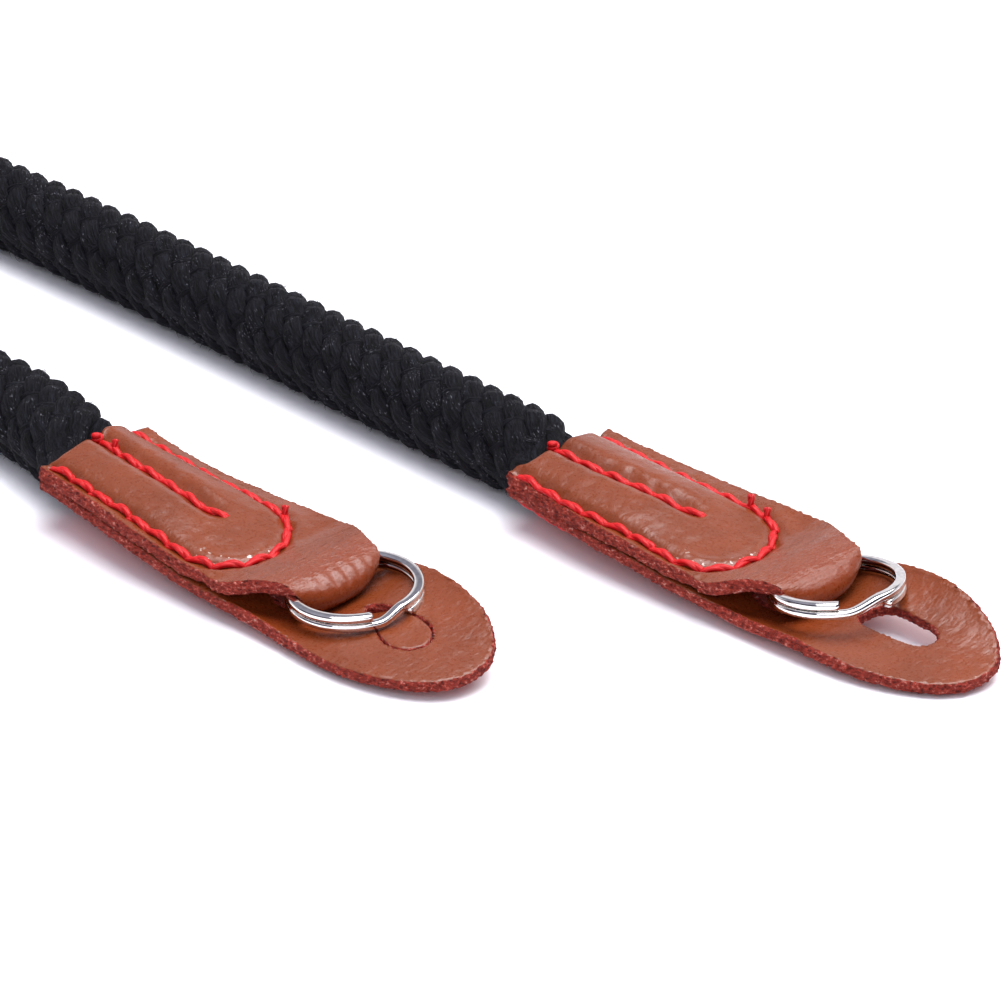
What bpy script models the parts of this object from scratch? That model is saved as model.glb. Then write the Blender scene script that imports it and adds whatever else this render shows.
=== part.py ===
"""Camera shoulder strap: one thick braided rope whose two ends are sewn into leather.

Each end has a leather strip folded round a split ring, stitched shut over the rope,
and a longer leather protector under it that keeps the ring off the camera.
The strap lies on a flat surface at Z = 0, with its two ends pointing along +X.
Lengths are metres. An "end frame" has its origin on the surface below a pocket's mouth,
X towards the tip, Y across and Z up.
"""

from math import atan2, cos, exp, pi, radians, sin, sqrt

import bmesh
import bpy
from mathutils import Matrix, Vector

MM = 0.001

# Rope
ROPE_RADIUS = 5.7 * MM
ROPE_INSERT = 27.0 * MM
ROPE_PRESSED_OVER = 7.0 * MM
ROPE_POCKET_CLEARANCE = 0.45 * MM
ROPE_POCKET_SHARE = 0.74
ROPE_END_STEP = 3.4 * MM

# Leather
STRIP_THICKNESS = 1.0 * MM
PROTECTOR_THICKNESS = 1.1 * MM
SEWN_CLEARANCE = 0.3 * MM
ARM_CLEARANCE = 0.06 * MM

# Outline of a leather end
MOUTH_HALF_WIDTH = 8.92 * MM
BODY_HALF_WIDTH = 10.45 * MM
WIDENING_LENGTH = 20.0 * MM
SEWN_LENGTH = 34.5 * MM
PROTECTOR_LENGTH = 70.4 * MM
TIP_LENGTH = 19.0 * MM
NECK_SETBACK = 1.4 * MM
FOLD_HALF_WIDTH = 6.1 * MM
SEAM_SHARE = 0.83

# Relief of a leather end
RIM_HEIGHT = 4.75 * MM
POCKET_HUMP = 1.7 * MM
POCKET_GROOVE = 0.8 * MM
GROOVE_WIDTH = 1.5 * MM
GROOVE_LENGTH = 27.0 * MM
GROOVE_FULL_SHARE = 0.8
ROPE_FULL_SHARE = 0.22
HUMP_FULL_SHARE = 0.7
HUMP_FLATNESS = 0.7
UNDER_PRESS = 1.12
RING_PRESS = 2.2 * MM
RING_PRESS_REACH = 1.3
CURL_SHARPNESS = 1.6
TIP_LIFT_SHARE = 0.75

# Split ring
RING_RADIUS = 8.4 * MM
RING_WIRE = 1.06 * MM
RING_COIL_PITCH = 1.16 * MM
RING_SEAT = 5.0 * MM
RING_HEIGHT = 6.2 * MM
RING_CLEARANCE = 0.3 * MM
RING_STEP = 15.0
RING_END_GAP = 6.0
FOLD_SLACK = 0.6 * MM
FOLD_ROUNDING = 2.2
FOLD_BULGE = 1.4 * MM
RISE_SETBACK = 1.7 * MM

# Slot in the far protector
SLOT_LENGTH = 10.8 * MM
SLOT_WIDTH = 5.4 * MM
SLOT_CENTRE_X = 56.0 * MM
SLOT_CENTRE_Y = 1.2 * MM
SLOT_FLARE = 0.15
SLOT_POINTS = 20

# Rows of points along the leather
SHARED_ROWS = 19
FLAP_ROWS = 4
TIP_ROWS = 8
FOLD_ROWS = 7

# Plain colours of the solids
LEATHER_COLOUR = (0.32, 0.13, 0.06)
NICKEL_COLOUR = (0.75, 0.73, 0.70)
COTTON_COLOUR = (0.012, 0.012, 0.014)

# How the two ends lie
LANE_SPACING = 42.34 * MM
LANE_CENTRE = 0.33 * MM
STAGGER = 39.56 * MM

# One row for each end: name, turn about Z, lift of the flap's far side, lift of its tip,
# sideways drift of the flap, pitch and roll of the ring, and the angles between which the
# ring's wire changes level.
END_COLUMNS = (
    "name", "turn", "curl", "tip_lift", "drift", "ring_pitch", "ring_roll", "jog_start",
    "jog_end", "slotted",
)
END_ROWS = (
    ("a", 0.0, 2.7 * MM, 0.0, 1.4, 12.4, 5.7, -48.0, -2.0, True),
    ("b", -0.76, 3.2 * MM, 0.7 * MM, -1.3, 8.5, 9.6, -28.0, -2.0, False),
)
ENDS = [dict(zip(END_COLUMNS, row)) for row in END_ROWS]

# How much further the far edge of each end bends up or down: shares of the protector's
# length, then of the edge lift.
EDGE_LIFT = 2.0 * MM
EDGE_LIFT_FROM = 0.2
EDGE_COLUMNS = ("along", "a", "b")
EDGE_ROWS = (
    (0.00, 0.20, 0.00),
    (0.10, 0.05, -0.35),
    (0.18, 0.00, -0.50),
    (0.28, 0.20, -0.40),
    (0.38, 0.60, 0.05),
    (0.47, 0.90, 0.40),
    (0.57, 0.95, 0.40),
    (0.70, 0.65, 0.30),
    (0.81, 0.95, 0.30),
    (1.00, 1.00, 0.40),
)

# Across a leather end, as shares of its half-width
COLUMN_SHARES = (-1.0, -SEAM_SHARE, -0.64, -0.45, -0.26, 0.0, 0.26, 0.45, 0.64, SEAM_SHARE, 1.0)

# The free rope, mouth to mouth, one point a line: along X, along Y. It runs back from the
# far end, turns once and comes back to the near end.
ROPE_ROUTE = (
    (-0.0215, 0.0215),
    (-0.0340, 0.0220),
    (-0.0530, 0.0229),
    (-0.0750, 0.0241),
    (-0.1020, 0.0254),
    (-0.1280, 0.0260),
    (-0.1700, 0.0271),
    (-0.2200, 0.0290),
    (-0.2700, 0.0311),
    (-0.3150, 0.0322),
    (-0.3480, 0.0292),
    (-0.3700, 0.0176),
    (-0.3770, 0.0010),
    (-0.3700, -0.0152),
    (-0.3480, -0.0262),
    (-0.3150, -0.0298),
    (-0.2680, -0.0292),
    (-0.2200, -0.0268),
    (-0.1700, -0.0232),
    (-0.1300, -0.0196),
    (-0.1000, -0.0176),
    (-0.0780, -0.0172),
    (-0.0680, -0.0181),
    (-0.0610, -0.0197),
)

RING_CENTRE_X = SEWN_LENGTH + RING_SEAT + RING_RADIUS
RING_STACK = RING_COIL_PITCH + RING_WIRE
RING_HOLE_RADIUS = RING_RADIUS - RING_WIRE
WIRE_RADIUS = RING_RADIUS - RING_WIRE / 2
FOLD_FRONT = RING_CENTRE_X - sqrt(RING_HOLE_RADIUS ** 2 - FOLD_HALF_WIDTH ** 2)
FOLD_FRONT += RING_CLEARANCE + STRIP_THICKNESS / 2 + FOLD_SLACK
FOLD_TURN = FOLD_FRONT - FOLD_ROUNDING * STRIP_THICKNESS
NECK_START = SEWN_LENGTH + NECK_SETBACK
NECK_END = FOLD_TURN
SLOPE_STEP = 0.05 * MM


def smooth(value):
    """Ease from 0 to 1."""
    t = min(1.0, max(0.0, value))
    return t * t * (3 - 2 * t)


def mix(a, b, t):
    return a + (b - a) * t


def body_half_width(x):
    """Half-width of both layers where they are sewn together."""
    return mix(MOUTH_HALF_WIDTH, BODY_HALF_WIDTH, smooth(x / WIDENING_LENGTH))


def strip_half_width(x):
    """The strip narrows to a neck that fits through the ring."""
    neck = smooth((x - NECK_START) / (NECK_END - NECK_START))
    return mix(body_half_width(x), FOLD_HALF_WIDTH, neck)


def rim_height(x):
    """Underside of the protector along its long edges: raised at the mouth, down at the tip."""
    return RIM_HEIGHT * max(0.0, 1 - x / PROTECTOR_LENGTH)


def mouth_share(x):
    """1 where the whole rope is inside the pocket, 0 past its end."""
    full = ROPE_FULL_SHARE * ROPE_INSERT
    return 1 - smooth((x - full) / (SEWN_LENGTH - full))


def edge_lift(end, x, y):
    """Bend of the far edge, on a smooth curve through the rows of its table."""
    column = EDGE_COLUMNS.index(end["name"])
    place = min(1.0, max(0.0, x / PROTECTOR_LENGTH))
    last = len(EDGE_ROWS) - 1
    i = min(last - 1, sum(row[0] <= place for row in EDGE_ROWS) - 1)
    before, low, high, after = (EDGE_ROWS[min(last, max(0, i + k))] for k in (-1, 0, 1, 2))
    span = high[0] - low[0]
    t = (place - low[0]) / span
    slope_low = (high[column] - before[column]) / (high[0] - before[0]) * span
    slope_high = (after[column] - low[column]) / (after[0] - low[0]) * span
    rise = high[column] - low[column]
    bend = (3 * rise - 2 * slope_low - slope_high) * t ** 2
    share = low[column] + slope_low * t + bend + (slope_low + slope_high - 2 * rise) * t ** 3
    across = y / body_half_width(x)
    reach = max(0.0, across - EDGE_LIFT_FROM) / (1 - EDGE_LIFT_FROM)
    return EDGE_LIFT * share * reach ** 2


def under_height(end, x, y):
    """Underside of the protector, pressed down by the rope and again by the ring."""
    seam = SEAM_SHARE * body_half_width(x)
    across = y / body_half_width(x)
    bulge = UNDER_PRESS * mouth_share(x) * rim_height(x) * max(0.0, 1 - (y / seam) ** 2)
    ring_push = exp(-((x - RING_CENTRE_X + RING_RADIUS) / (RING_PRESS_REACH * RING_RADIUS)) ** 2)
    sag = min(RING_PRESS, rim_height(x)) * ring_push * smooth((x - SEWN_LENGTH) / RING_SEAT)
    sag *= max(0.0, 1 - across ** 4)
    far_side = max(0.0, (1 + across) / 2) ** CURL_SHARPNESS
    curl = end["curl"] * smooth((x - NECK_START) / (2 * RING_RADIUS)) * far_side
    flap = PROTECTOR_LENGTH - FOLD_TURN
    lift = end["tip_lift"] * smooth((x - FOLD_TURN) / (TIP_LIFT_SHARE * flap))
    return max(0.0, rim_height(x) - bulge - sag) + curl + lift + edge_lift(end, x, y)


def above_under(end, x, y, distance):
    """Point at a distance above the protector's underside, along its normal."""
    reach = SLOPE_STEP
    slope_x = under_height(end, x + reach, y) - under_height(end, x - reach, y)
    slope_y = under_height(end, x, y + reach) - under_height(end, x, y - reach)
    normal = Vector((-slope_x, -slope_y, 2 * reach)).normalized()
    return Vector((x, y, under_height(end, x, y))) + normal * distance


def layer_height(end, x, y, distance):
    """Height over a point of the layer that lies at a distance above the underside."""
    foot = y
    for _ in range(8):
        point = above_under(end, x, foot, distance)
        foot += 0.7 * (y - point.y)
    return point.z


def ring_height(end, x, y):
    """Middle plane of the ring under the strip; it is level past the strip's neck."""
    forward = (x - RING_CENTRE_X) * sin(radians(end["ring_pitch"]))
    across = min(FOLD_HALF_WIDTH, max(-FOLD_HALF_WIDTH, y))
    return RING_HEIGHT + forward + across * sin(radians(end["ring_roll"]))


LOWER_ARM = PROTECTOR_THICKNESS + SEWN_CLEARANCE + STRIP_THICKNESS / 2
UPPER_ARM = LOWER_ARM + STRIP_THICKNESS + ARM_CLEARANCE


def hump_height(x, y):
    """Height of the sewn pocket over its rims, with the groove of its middle seam."""
    seam = SEAM_SHARE * body_half_width(x)
    full = HUMP_FULL_SHARE * ROPE_INSERT
    closing = 1 - smooth((x - full) / (SEWN_LENGTH - full))
    dome = POCKET_HUMP * closing * max(0.0, 1 - (y / seam) ** 2) ** HUMP_FLATNESS
    deep = GROOVE_FULL_SHARE * GROOVE_LENGTH
    fade = 1 - smooth((x - deep) / (GROOVE_LENGTH - deep))
    groove = POCKET_GROOVE * fade * exp(-(y / GROOVE_WIDTH) ** 2)
    return dome - groove


def upper_arm_height(end, x, y):
    """Middle of the strip's upper arm: over the rope, then up over the ring's wire."""
    sewn = rim_height(x) + edge_lift(end, x, y) + UPPER_ARM + hump_height(x, y)
    over_ring = ring_height(end, x, y) + RING_STACK / 2 + RING_CLEARANCE + STRIP_THICKNESS / 2
    rise_start = SEWN_LENGTH - RISE_SETBACK
    rise_end = SEWN_LENGTH + RING_SEAT - RING_CLEARANCE
    rise = smooth((x - rise_start) / (rise_end - rise_start))
    return mix(sewn, over_ring, rise)


def column_points(half_width, place):
    """One row of points across a leather end."""
    return [place(share * half_width) for share in COLUMN_SHARES]


def spaced(start, stop, count):
    return [mix(start, stop, i / count) for i in range(count + 1)]


SHARED_STATIONS = spaced(0, FOLD_TURN, SHARED_ROWS)


def grid_mesh(name, rows, close_last=False):
    """Open surface through rows of points; the last row may shrink to one point."""
    bm = bmesh.new()
    verts = [[bm.verts.new(p) for p in row] for row in rows]
    if close_last:
        tip = bm.verts.new(rows[-1][len(rows[-1]) // 2])
        for v in verts[-1]:
            bm.verts.remove(v)
        verts[-1] = [tip] * len(rows[-1])
    for low, high in zip(verts, verts[1:]):
        for i in range(len(low) - 1):
            corners = [low[i], high[i], high[i + 1], low[i + 1]]
            unique = list(dict.fromkeys(corners))
            bm.faces.new(unique)
    mesh = bpy.data.meshes.new(name)
    bm.to_mesh(mesh)
    bm.free()
    return mesh


def material(name, colour, roughness, metallic=0.0):
    made = bpy.data.materials.new(name)
    made.use_nodes = True
    shader = made.node_tree.nodes["Principled BSDF"]
    shader.inputs["Base Color"].default_value = (*colour, 1)
    shader.inputs["Roughness"].default_value = roughness
    shader.inputs["Metallic"].default_value = metallic
    return made


def add_object(name, data, collection, parent=None, finish=None):
    made = bpy.data.objects.new(name, data)
    collection.objects.link(made)
    made.parent = parent
    if finish:
        data.materials.append(finish)
    return made


def solidify(piece, thickness, offset):
    wall = piece.modifiers.new("wall", "SOLIDIFY")
    wall.thickness = thickness
    wall.offset = offset


def end_matrix(end):
    """World place of an end frame."""
    mouth_b = -(STAGGER + PROTECTOR_LENGTH) / 2
    is_far = end["name"] == "a"
    x = mouth_b + STAGGER if is_far else mouth_b
    y = LANE_CENTRE + (LANE_SPACING / 2 if is_far else -LANE_SPACING / 2)
    return Matrix.Translation((x, y, 0)) @ Matrix.Rotation(radians(end["turn"]), 4, "Z")


def protector_rows(end):
    """Underside of the long bottom layer, from the mouth to its half-elliptical tip."""
    tip_start = PROTECTOR_LENGTH - TIP_LENGTH
    rows = []

    def drifted(x, y):
        drift = max(0.0, x - FOLD_TURN) * sin(radians(end["drift"]))
        return Vector((x, y + drift, under_height(end, x, y)))

    for x in SHARED_STATIONS + spaced(FOLD_TURN, tip_start, FLAP_ROWS)[1:]:
        rows.append(column_points(body_half_width(x), lambda y, x=x: drifted(x, y)))
    for turn in spaced(0, pi / 2, TIP_ROWS)[1:]:
        x = tip_start + TIP_LENGTH * sin(turn)
        half = BODY_HALF_WIDTH * cos(turn)
        rows.append(column_points(half, lambda y, x=x: drifted(x, y)))
    return rows


def strip_rows(end):
    """Middle of the folded strip: upper arm, turn round the ring's wire, lower arm."""
    def upper(x, y):
        return Vector((x, y, upper_arm_height(end, x, y)))

    def lower(x, y):
        return above_under(end, x, y, LOWER_ARM)

    rows = []
    for x in SHARED_STATIONS:
        rows.append(column_points(strip_half_width(x), lambda y, x=x: upper(x, y)))
    for turn in spaced(0, pi, FOLD_ROWS)[1:-1]:
        def around(y, turn=turn):
            top = upper(FOLD_TURN, y).z
            bottom = lower(FOLD_TURN, y).z
            bulge = FOLD_BULGE * (1 - (y / FOLD_HALF_WIDTH) ** 2)
            x = FOLD_TURN + (FOLD_FRONT + bulge - FOLD_TURN) * sin(turn)
            return Vector((x, y, (top + bottom) / 2 + (top - bottom) / 2 * cos(turn)))
        rows.append(column_points(FOLD_HALF_WIDTH, around))
    for x in reversed(SHARED_STATIONS):
        rows.append(column_points(strip_half_width(x), lambda y, x=x: lower(x, y)))
    return rows


def slot_cutter(end, collection, parent):
    """Pear-shaped hole, wider towards the tip."""
    outline = bpy.data.curves.new("slot_outline", "CURVE")
    outline.dimensions = "2D"
    outline.fill_mode = "BOTH"
    outline.extrude = RIM_HEIGHT + end["curl"]
    outline.render_resolution_u = 0
    spline = outline.splines.new("POLY")
    spline.points.add(SLOT_POINTS - 1)
    for i, point in enumerate(spline.points):
        turn = 2 * pi * i / SLOT_POINTS
        flare = 1 + SLOT_FLARE * cos(turn)
        x = SLOT_CENTRE_X + SLOT_LENGTH / 2 * cos(turn)
        y = SLOT_CENTRE_Y + SLOT_WIDTH / 2 * sin(turn) * flare
        point.co = (x, y, 0, 1)
    spline.use_cyclic_u = True
    guide = add_object("slot_outline", outline, collection, parent)
    cutter = as_mesh(guide, "slot_cutter")
    cutter.hide_render = True
    cutter.display_type = "WIRE"
    return cutter


def as_mesh(source, name):
    """Turn a curve object into a closed mesh object in the same place."""
    bpy.context.view_layer.update()
    depsgraph = bpy.context.evaluated_depsgraph_get()
    mesh = bpy.data.meshes.new_from_object(source.evaluated_get(depsgraph))
    mesh.name = name
    bm = bmesh.new()
    bm.from_mesh(mesh)
    bmesh.ops.remove_doubles(bm, verts=bm.verts, dist=0.00001)
    bmesh.ops.recalc_face_normals(bm, faces=bm.faces)
    bm.to_mesh(mesh)
    bm.free()
    made = bpy.data.objects.new(name, mesh)
    for collection in source.users_collection:
        collection.objects.link(made)
    made.parent = source.parent
    made.matrix_world = source.matrix_world.copy()
    bpy.data.objects.remove(source)
    return made


def make_protector(end, parts, cutters, parent, finish):
    name = f"protector_{end['name']}"
    mesh = grid_mesh(name, protector_rows(end), close_last=True)
    piece = add_object(name, mesh, parts, parent, finish)
    solidify(piece, PROTECTOR_THICKNESS, 1)
    if end["slotted"]:
        cut = piece.modifiers.new("slot", "BOOLEAN")
        cut.operation = "DIFFERENCE"
        cut.object = slot_cutter(end, cutters, parent)
    return piece


def make_strip(end, parts, parent, finish):
    name = f"tab_{end['name']}"
    piece = add_object(name, grid_mesh(name, strip_rows(end)), parts, parent, finish)
    solidify(piece, STRIP_THICKNESS, 0)
    return piece


def make_ring(end, parts, parent, finish):
    """Two turns of one wire that changes level between its two ends."""
    curve = bpy.data.curves.new(f"ring_{end['name']}", "CURVE")
    curve.dimensions = "3D"
    curve.bevel_depth = RING_WIRE / 2
    curve.bevel_resolution = 2
    curve.use_fill_caps = True
    curve.render_resolution_u = 0
    start = end["jog_end"] + RING_END_GAP
    stop = 720 + end["jog_start"] - RING_END_GAP
    angles = [start]
    while angles[-1] + RING_STEP < stop:
        angles.append(angles[-1] + RING_STEP)
    angles.append(stop)
    spline = curve.splines.new("POLY")
    spline.points.add(len(angles) - 1)
    tilt = Matrix.Rotation(-radians(end["ring_pitch"]), 4, "Y")
    tilt @= Matrix.Rotation(radians(end["ring_roll"]), 4, "X")
    place = Matrix.Translation((RING_CENTRE_X, 0, RING_HEIGHT)) @ tilt
    for point, angle in zip(spline.points, angles):
        jog = (angle - 360 - end["jog_start"]) / (end["jog_end"] - end["jog_start"])
        level = RING_COIL_PITCH * (smooth(jog) - 0.5)
        turn = radians(angle)
        spot = place @ Vector((WIRE_RADIUS * cos(turn), WIRE_RADIUS * sin(turn), level))
        point.co = (*spot, 1)
    return add_object(f"ring_{end['name']}", curve, parts, parent, finish)


def catmull_rom(points, per_span):
    """Smooth curve through points."""
    line = [points[0] * 2 - points[1], *points, points[-1] * 2 - points[-2]]
    curve = []
    for p0, p1, p2, p3 in zip(line, line[1:], line[2:], line[3:]):
        for i in range(per_span):
            t = i / per_span
            bend = (2 * p0 - 5 * p1 + 4 * p2 - p3) * t * t + (3 * p1 - p0 - 3 * p2 + p3) * t ** 3
            curve.append((2 * p1 + (p2 - p0) * t + bend) / 2)
    curve.append(points[-1])
    return curve


def rope_stations():
    """Points of the whole rope: close together in the pockets, wider on the free length."""
    far, near = (end_matrix(end) for end in ENDS)
    inside = spaced(ROPE_INSERT, 0, round(ROPE_INSERT / ROPE_END_STEP))
    first = [far @ Vector((x, 0, ROPE_RADIUS)) for x in inside]
    last = [near @ Vector((x, 0, ROPE_RADIUS)) for x in reversed(inside)]
    free = [Vector((x, y, ROPE_RADIUS)) for x, y in ROPE_ROUTE]
    return first[:-1] + catmull_rom([first[-1], *free, last[0]], 2) + last[1:]


def pocket_section(end, x, turn):
    """Point of the rope's surface where the sewn pocket squeezes it flat."""
    inside = max(0.0, x)
    half = ROPE_POCKET_SHARE * SEAM_SHARE * body_half_width(inside)
    y = half * cos(turn)
    top = upper_arm_height(end, inside, y) - STRIP_THICKNESS / 2
    bottom = layer_height(end, inside, y, LOWER_ARM + STRIP_THICKNESS / 2)
    room = max(0.2 * MM, (top - bottom) / 2 - ROPE_POCKET_CLEARANCE)
    return Vector((x, y, (top + bottom) / 2 + room * sin(turn)))


def press_into_pockets(rope):
    """Flatten both ends of the rope's mesh to the shape of their pockets."""
    for end in ENDS:
        place = end_matrix(end)
        to_end = place.inverted()
        for vertex in rope.data.vertices:
            spot = to_end @ (rope.matrix_world @ vertex.co)
            near_end = abs(spot.y) < 2 * ROPE_RADIUS and spot.x > -ROPE_PRESSED_OVER
            if not near_end:
                continue
            turn = atan2(spot.z - ROPE_RADIUS, spot.y)
            pressed = pocket_section(end, spot.x, turn)
            share = smooth((spot.x + ROPE_PRESSED_OVER) / ROPE_PRESSED_OVER)
            vertex.co = place @ spot.lerp(pressed, share)


def make_rope(parts, finish):
    curve = bpy.data.curves.new("rope_route", "CURVE")
    curve.dimensions = "3D"
    curve.bevel_depth = ROPE_RADIUS
    curve.bevel_resolution = 4
    curve.use_fill_caps = True
    curve.render_resolution_u = 0
    stations = rope_stations()
    spline = curve.splines.new("POLY")
    spline.points.add(len(stations) - 1)
    for point, spot in zip(spline.points, stations):
        point.co = (*spot, 1)
    rope = as_mesh(add_object("rope_route", curve, parts), "rope")
    rope.data.materials.clear()
    rope.data.materials.append(finish)
    press_into_pockets(rope)
    return rope


def main():
    for thing in list(bpy.data.objects):
        bpy.data.objects.remove(thing)
    parts = bpy.data.collections.new("camera_shoulder_strap")
    cutters = bpy.data.collections.new("cutters")
    bpy.context.scene.collection.children.link(parts)
    bpy.context.scene.collection.children.link(cutters)
    leather = material("brown_leather", LEATHER_COLOUR, 0.5)
    nickel = material("nickel_plated_steel", NICKEL_COLOUR, 0.15, 1.0)
    cotton = material("black_braided_cotton", COTTON_COLOUR, 0.9)
    for end in ENDS:
        frame = add_object(f"end_{end['name']}", None, parts)
        frame.matrix_world = end_matrix(end)
        make_protector(end, parts, cutters, frame, leather)
        make_strip(end, parts, frame, leather)
        make_ring(end, parts, frame, nickel)
    make_rope(parts, cotton)
    for piece in parts.objects:
        if piece.type == "MESH":
            piece.data.shade_smooth()
            piece.data.set_sharp_from_angle(angle=radians(40))


main()
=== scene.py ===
"""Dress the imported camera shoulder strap: braided rope, stitched leather ends and split rings.

Laid out as a Blender add-on and run as a script. Lengths are metres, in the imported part's own
frame. An "end frame" has its origin on the floor below a pocket's mouth, X towards the tip of
the leather, Y across and Z up. The outlines repeat those of the solids, and the sewn relief,
the braid, the stitches and the worn edges are added here.
"""

import random
from math import cos, pi, radians, sin

import bpy
import numpy as np
from bpy.props import FloatProperty, FloatVectorProperty, PointerProperty
from mathutils import Matrix, Vector, geometry, noise


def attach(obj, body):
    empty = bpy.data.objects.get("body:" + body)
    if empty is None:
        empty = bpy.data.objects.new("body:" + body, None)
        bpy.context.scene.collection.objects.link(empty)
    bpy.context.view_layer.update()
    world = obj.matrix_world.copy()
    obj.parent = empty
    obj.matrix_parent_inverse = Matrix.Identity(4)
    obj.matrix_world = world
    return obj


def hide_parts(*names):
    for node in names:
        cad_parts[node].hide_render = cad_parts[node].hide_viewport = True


bl_info = {
    "name": "Camera shoulder strap",
    "version": (1, 0, 0),
    "blender": (4, 5, 0),
    "location": "View3D > Sidebar > Strap",
    "description": "Makes a braided rope camera strap with stitched leather ends",
    "category": "Object",
}

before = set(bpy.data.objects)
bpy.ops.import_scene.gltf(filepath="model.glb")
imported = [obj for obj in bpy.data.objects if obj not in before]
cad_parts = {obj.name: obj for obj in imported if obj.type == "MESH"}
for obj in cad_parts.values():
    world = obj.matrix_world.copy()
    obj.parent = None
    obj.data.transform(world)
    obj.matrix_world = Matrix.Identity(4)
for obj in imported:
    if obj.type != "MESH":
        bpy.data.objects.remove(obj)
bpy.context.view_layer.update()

MM = 0.001
IMAGE_SIDE = 1001

# Without a seed the noise starts from the clock, and each run differs.
NOISE_SEED = 1

# Rope. Its radius, the length inside a pocket and the route are those of the solids.
ROPE_RADIUS = 5.7 * MM
ROPE_INSERT = 27.0 * MM
ROPE_FULL_SHARE = 0.22
ROPE_PRESSED_OVER = 5.0 * MM
ROPE_POCKET_SHARE = 0.86
ROPE_CORE_RADIUS = 4.6 * MM
ROPE_STEP = 0.5 * MM
SEEN_FROM_FAR_END = 165.0 * MM
SEEN_FROM_NEAR_END = 75.0 * MM
ROPE_ROUTE = (
    (-0.0215, 0.0215),
    (-0.0340, 0.0220),
    (-0.0530, 0.0229),
    (-0.0750, 0.0241),
    (-0.1020, 0.0254),
    (-0.1280, 0.0260),
    (-0.1700, 0.0271),
    (-0.2200, 0.0290),
    (-0.2700, 0.0311),
    (-0.3150, 0.0322),
    (-0.3480, 0.0292),
    (-0.3700, 0.0176),
    (-0.3770, 0.0010),
    (-0.3700, -0.0152),
    (-0.3480, -0.0262),
    (-0.3150, -0.0298),
    (-0.2680, -0.0292),
    (-0.2200, -0.0268),
    (-0.1700, -0.0232),
    (-0.1300, -0.0196),
    (-0.1000, -0.0176),
    (-0.0780, -0.0172),
    (-0.0680, -0.0181),
    (-0.0610, -0.0197),
)

# The strands that turn right stand out further than those that turn left. Each row holds the
# way round, a strand's distance from the rope's middle and how much the weave changes it, both
# in millimetres, its share of the full width and the points round its section.
STRANDS_EACH_WAY = 8
BRAID_COLUMNS = ("name", "direction", "distance", "weave", "width", "around")
BRAID_ROWS = (
    ("right", 1, 4.26, 0.34, 1.0, 12),
    ("left", -1, 3.72, -0.42, 0.8, 8),
)
BRAID = [dict(zip(BRAID_COLUMNS, row)) for row in BRAID_ROWS]
STRAND_ROUGHNESS = 0.2 * MM
HAIR_COUNT = 6500
HAIR_RADIUS = 0.036 * MM

# Outline of a leather end, as in the solids but for the tip's fullness
MOUTH_HALF_WIDTH = 8.92 * MM
BODY_HALF_WIDTH = 10.45 * MM
WIDENING_LENGTH = 20.0 * MM
SEWN_LENGTH = 34.5 * MM
TIP_LENGTH = 19.0 * MM
TIP_FULLNESS = 0.94
PROTECTOR_LENGTH = 70.4 * MM
LANE_SPACING = 42.34 * MM
LANE_CENTRE = 0.33 * MM
STAGGER = 39.56 * MM

# Lie of a leather end, as in the solids but for the bend of its edges
RIM_HEIGHT = 4.75 * MM
UNDER_PRESS = 1.12
SEAM_SHARE = 0.83
RING_PRESS = 2.2 * MM
RING_PRESS_REACH = 1.3
RING_SEAT = 5.0 * MM
RING_RADIUS = 8.4 * MM
RING_PLACE = SEWN_LENGTH + RING_SEAT + RING_RADIUS
CURL_START = SEWN_LENGTH + 1.4 * MM
CURL_SHARPNESS = 1.6
FLAP_START = 43.0 * MM
TIP_LIFT_SHARE = 0.75
EDGE_LIFT = 2.0 * MM
EDGE_LIFT_FROM = 0.2

# Leather layers: thick at the cut edges, thinner over the rope and in the fold
PROTECTOR_THICKNESS = 1.42 * MM
STRIP_EDGE = 1.7 * MM
STRIP_MIDDLE = 0.85 * MM
STRIP_FOLDED = 0.8 * MM
STRIP_UNDER = 0.7 * MM
SKIVED_OVER = 2.6 * MM
STACK = 3.3 * MM
LAYER_GAP = 0.08 * MM

# Cut edges: size and depth of the frayed fibres, and how far the corners are worn back
FIBRE_SIZE = 0.42 * MM
PROTECTOR_FRAY = 0.24 * MM
PLUG_FRAY = 0.04 * MM
STRIP_FRAY = 0.22 * MM
WORN_CORNER = 0.18 * MM

# Sewn relief of a pocket. A fade is where it starts and how long it takes.
HUMP_HEIGHT = 1.8 * MM
HUMP_FLATNESS = 0.54
HUMP_FADE = (17.0 * MM, 17.5 * MM)
GROOVE_DEPTH = 1.45 * MM
GROOVE_WIDTH = 1.45 * MM
GROOVE_PUCKER = 0.08
GROOVE_FADE = (21.0 * MM, 5.0 * MM)
CHANNEL_DEPTH = 0.42 * MM
CHANNEL_WIDTH = 0.8 * MM
CHANNEL_PUCKER = 0.3
SWELL_HEIGHT = 0.2 * MM
SWELL_AWAY = 1.6 * MM
SWELL_WIDTH = 0.9 * MM
SWELL_RISE = (24.0 * MM, 6.0 * MM)
OVER_RING_RISE = (33.6 * MM, 7.2 * MM)

# Bend of the long edges: share of the protector's length, then the far edge of ends a and b
# and the near edge of ends a and b, as shares of the edge lift.
EDGE_ROWS = (
    (0.00, 0.05, 0.00, -0.20, 0.00),
    (0.10, 0.00, -0.45, -0.30, 0.00),
    (0.20, -0.05, -0.65, -0.25, 0.05),
    (0.30, 0.10, -0.40, -0.18, -0.12),
    (0.40, 0.45, 0.05, -0.30, -0.35),
    (0.50, 0.70, 0.40, -0.27, -0.30),
    (0.60, 0.75, 0.40, -0.20, -0.25),
    (0.70, 0.60, 0.30, 0.10, -0.35),
    (0.82, 1.15, 0.40, 0.05, -0.42),
    (1.00, 1.30, 0.50, 0.00, -0.25),
)

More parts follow.
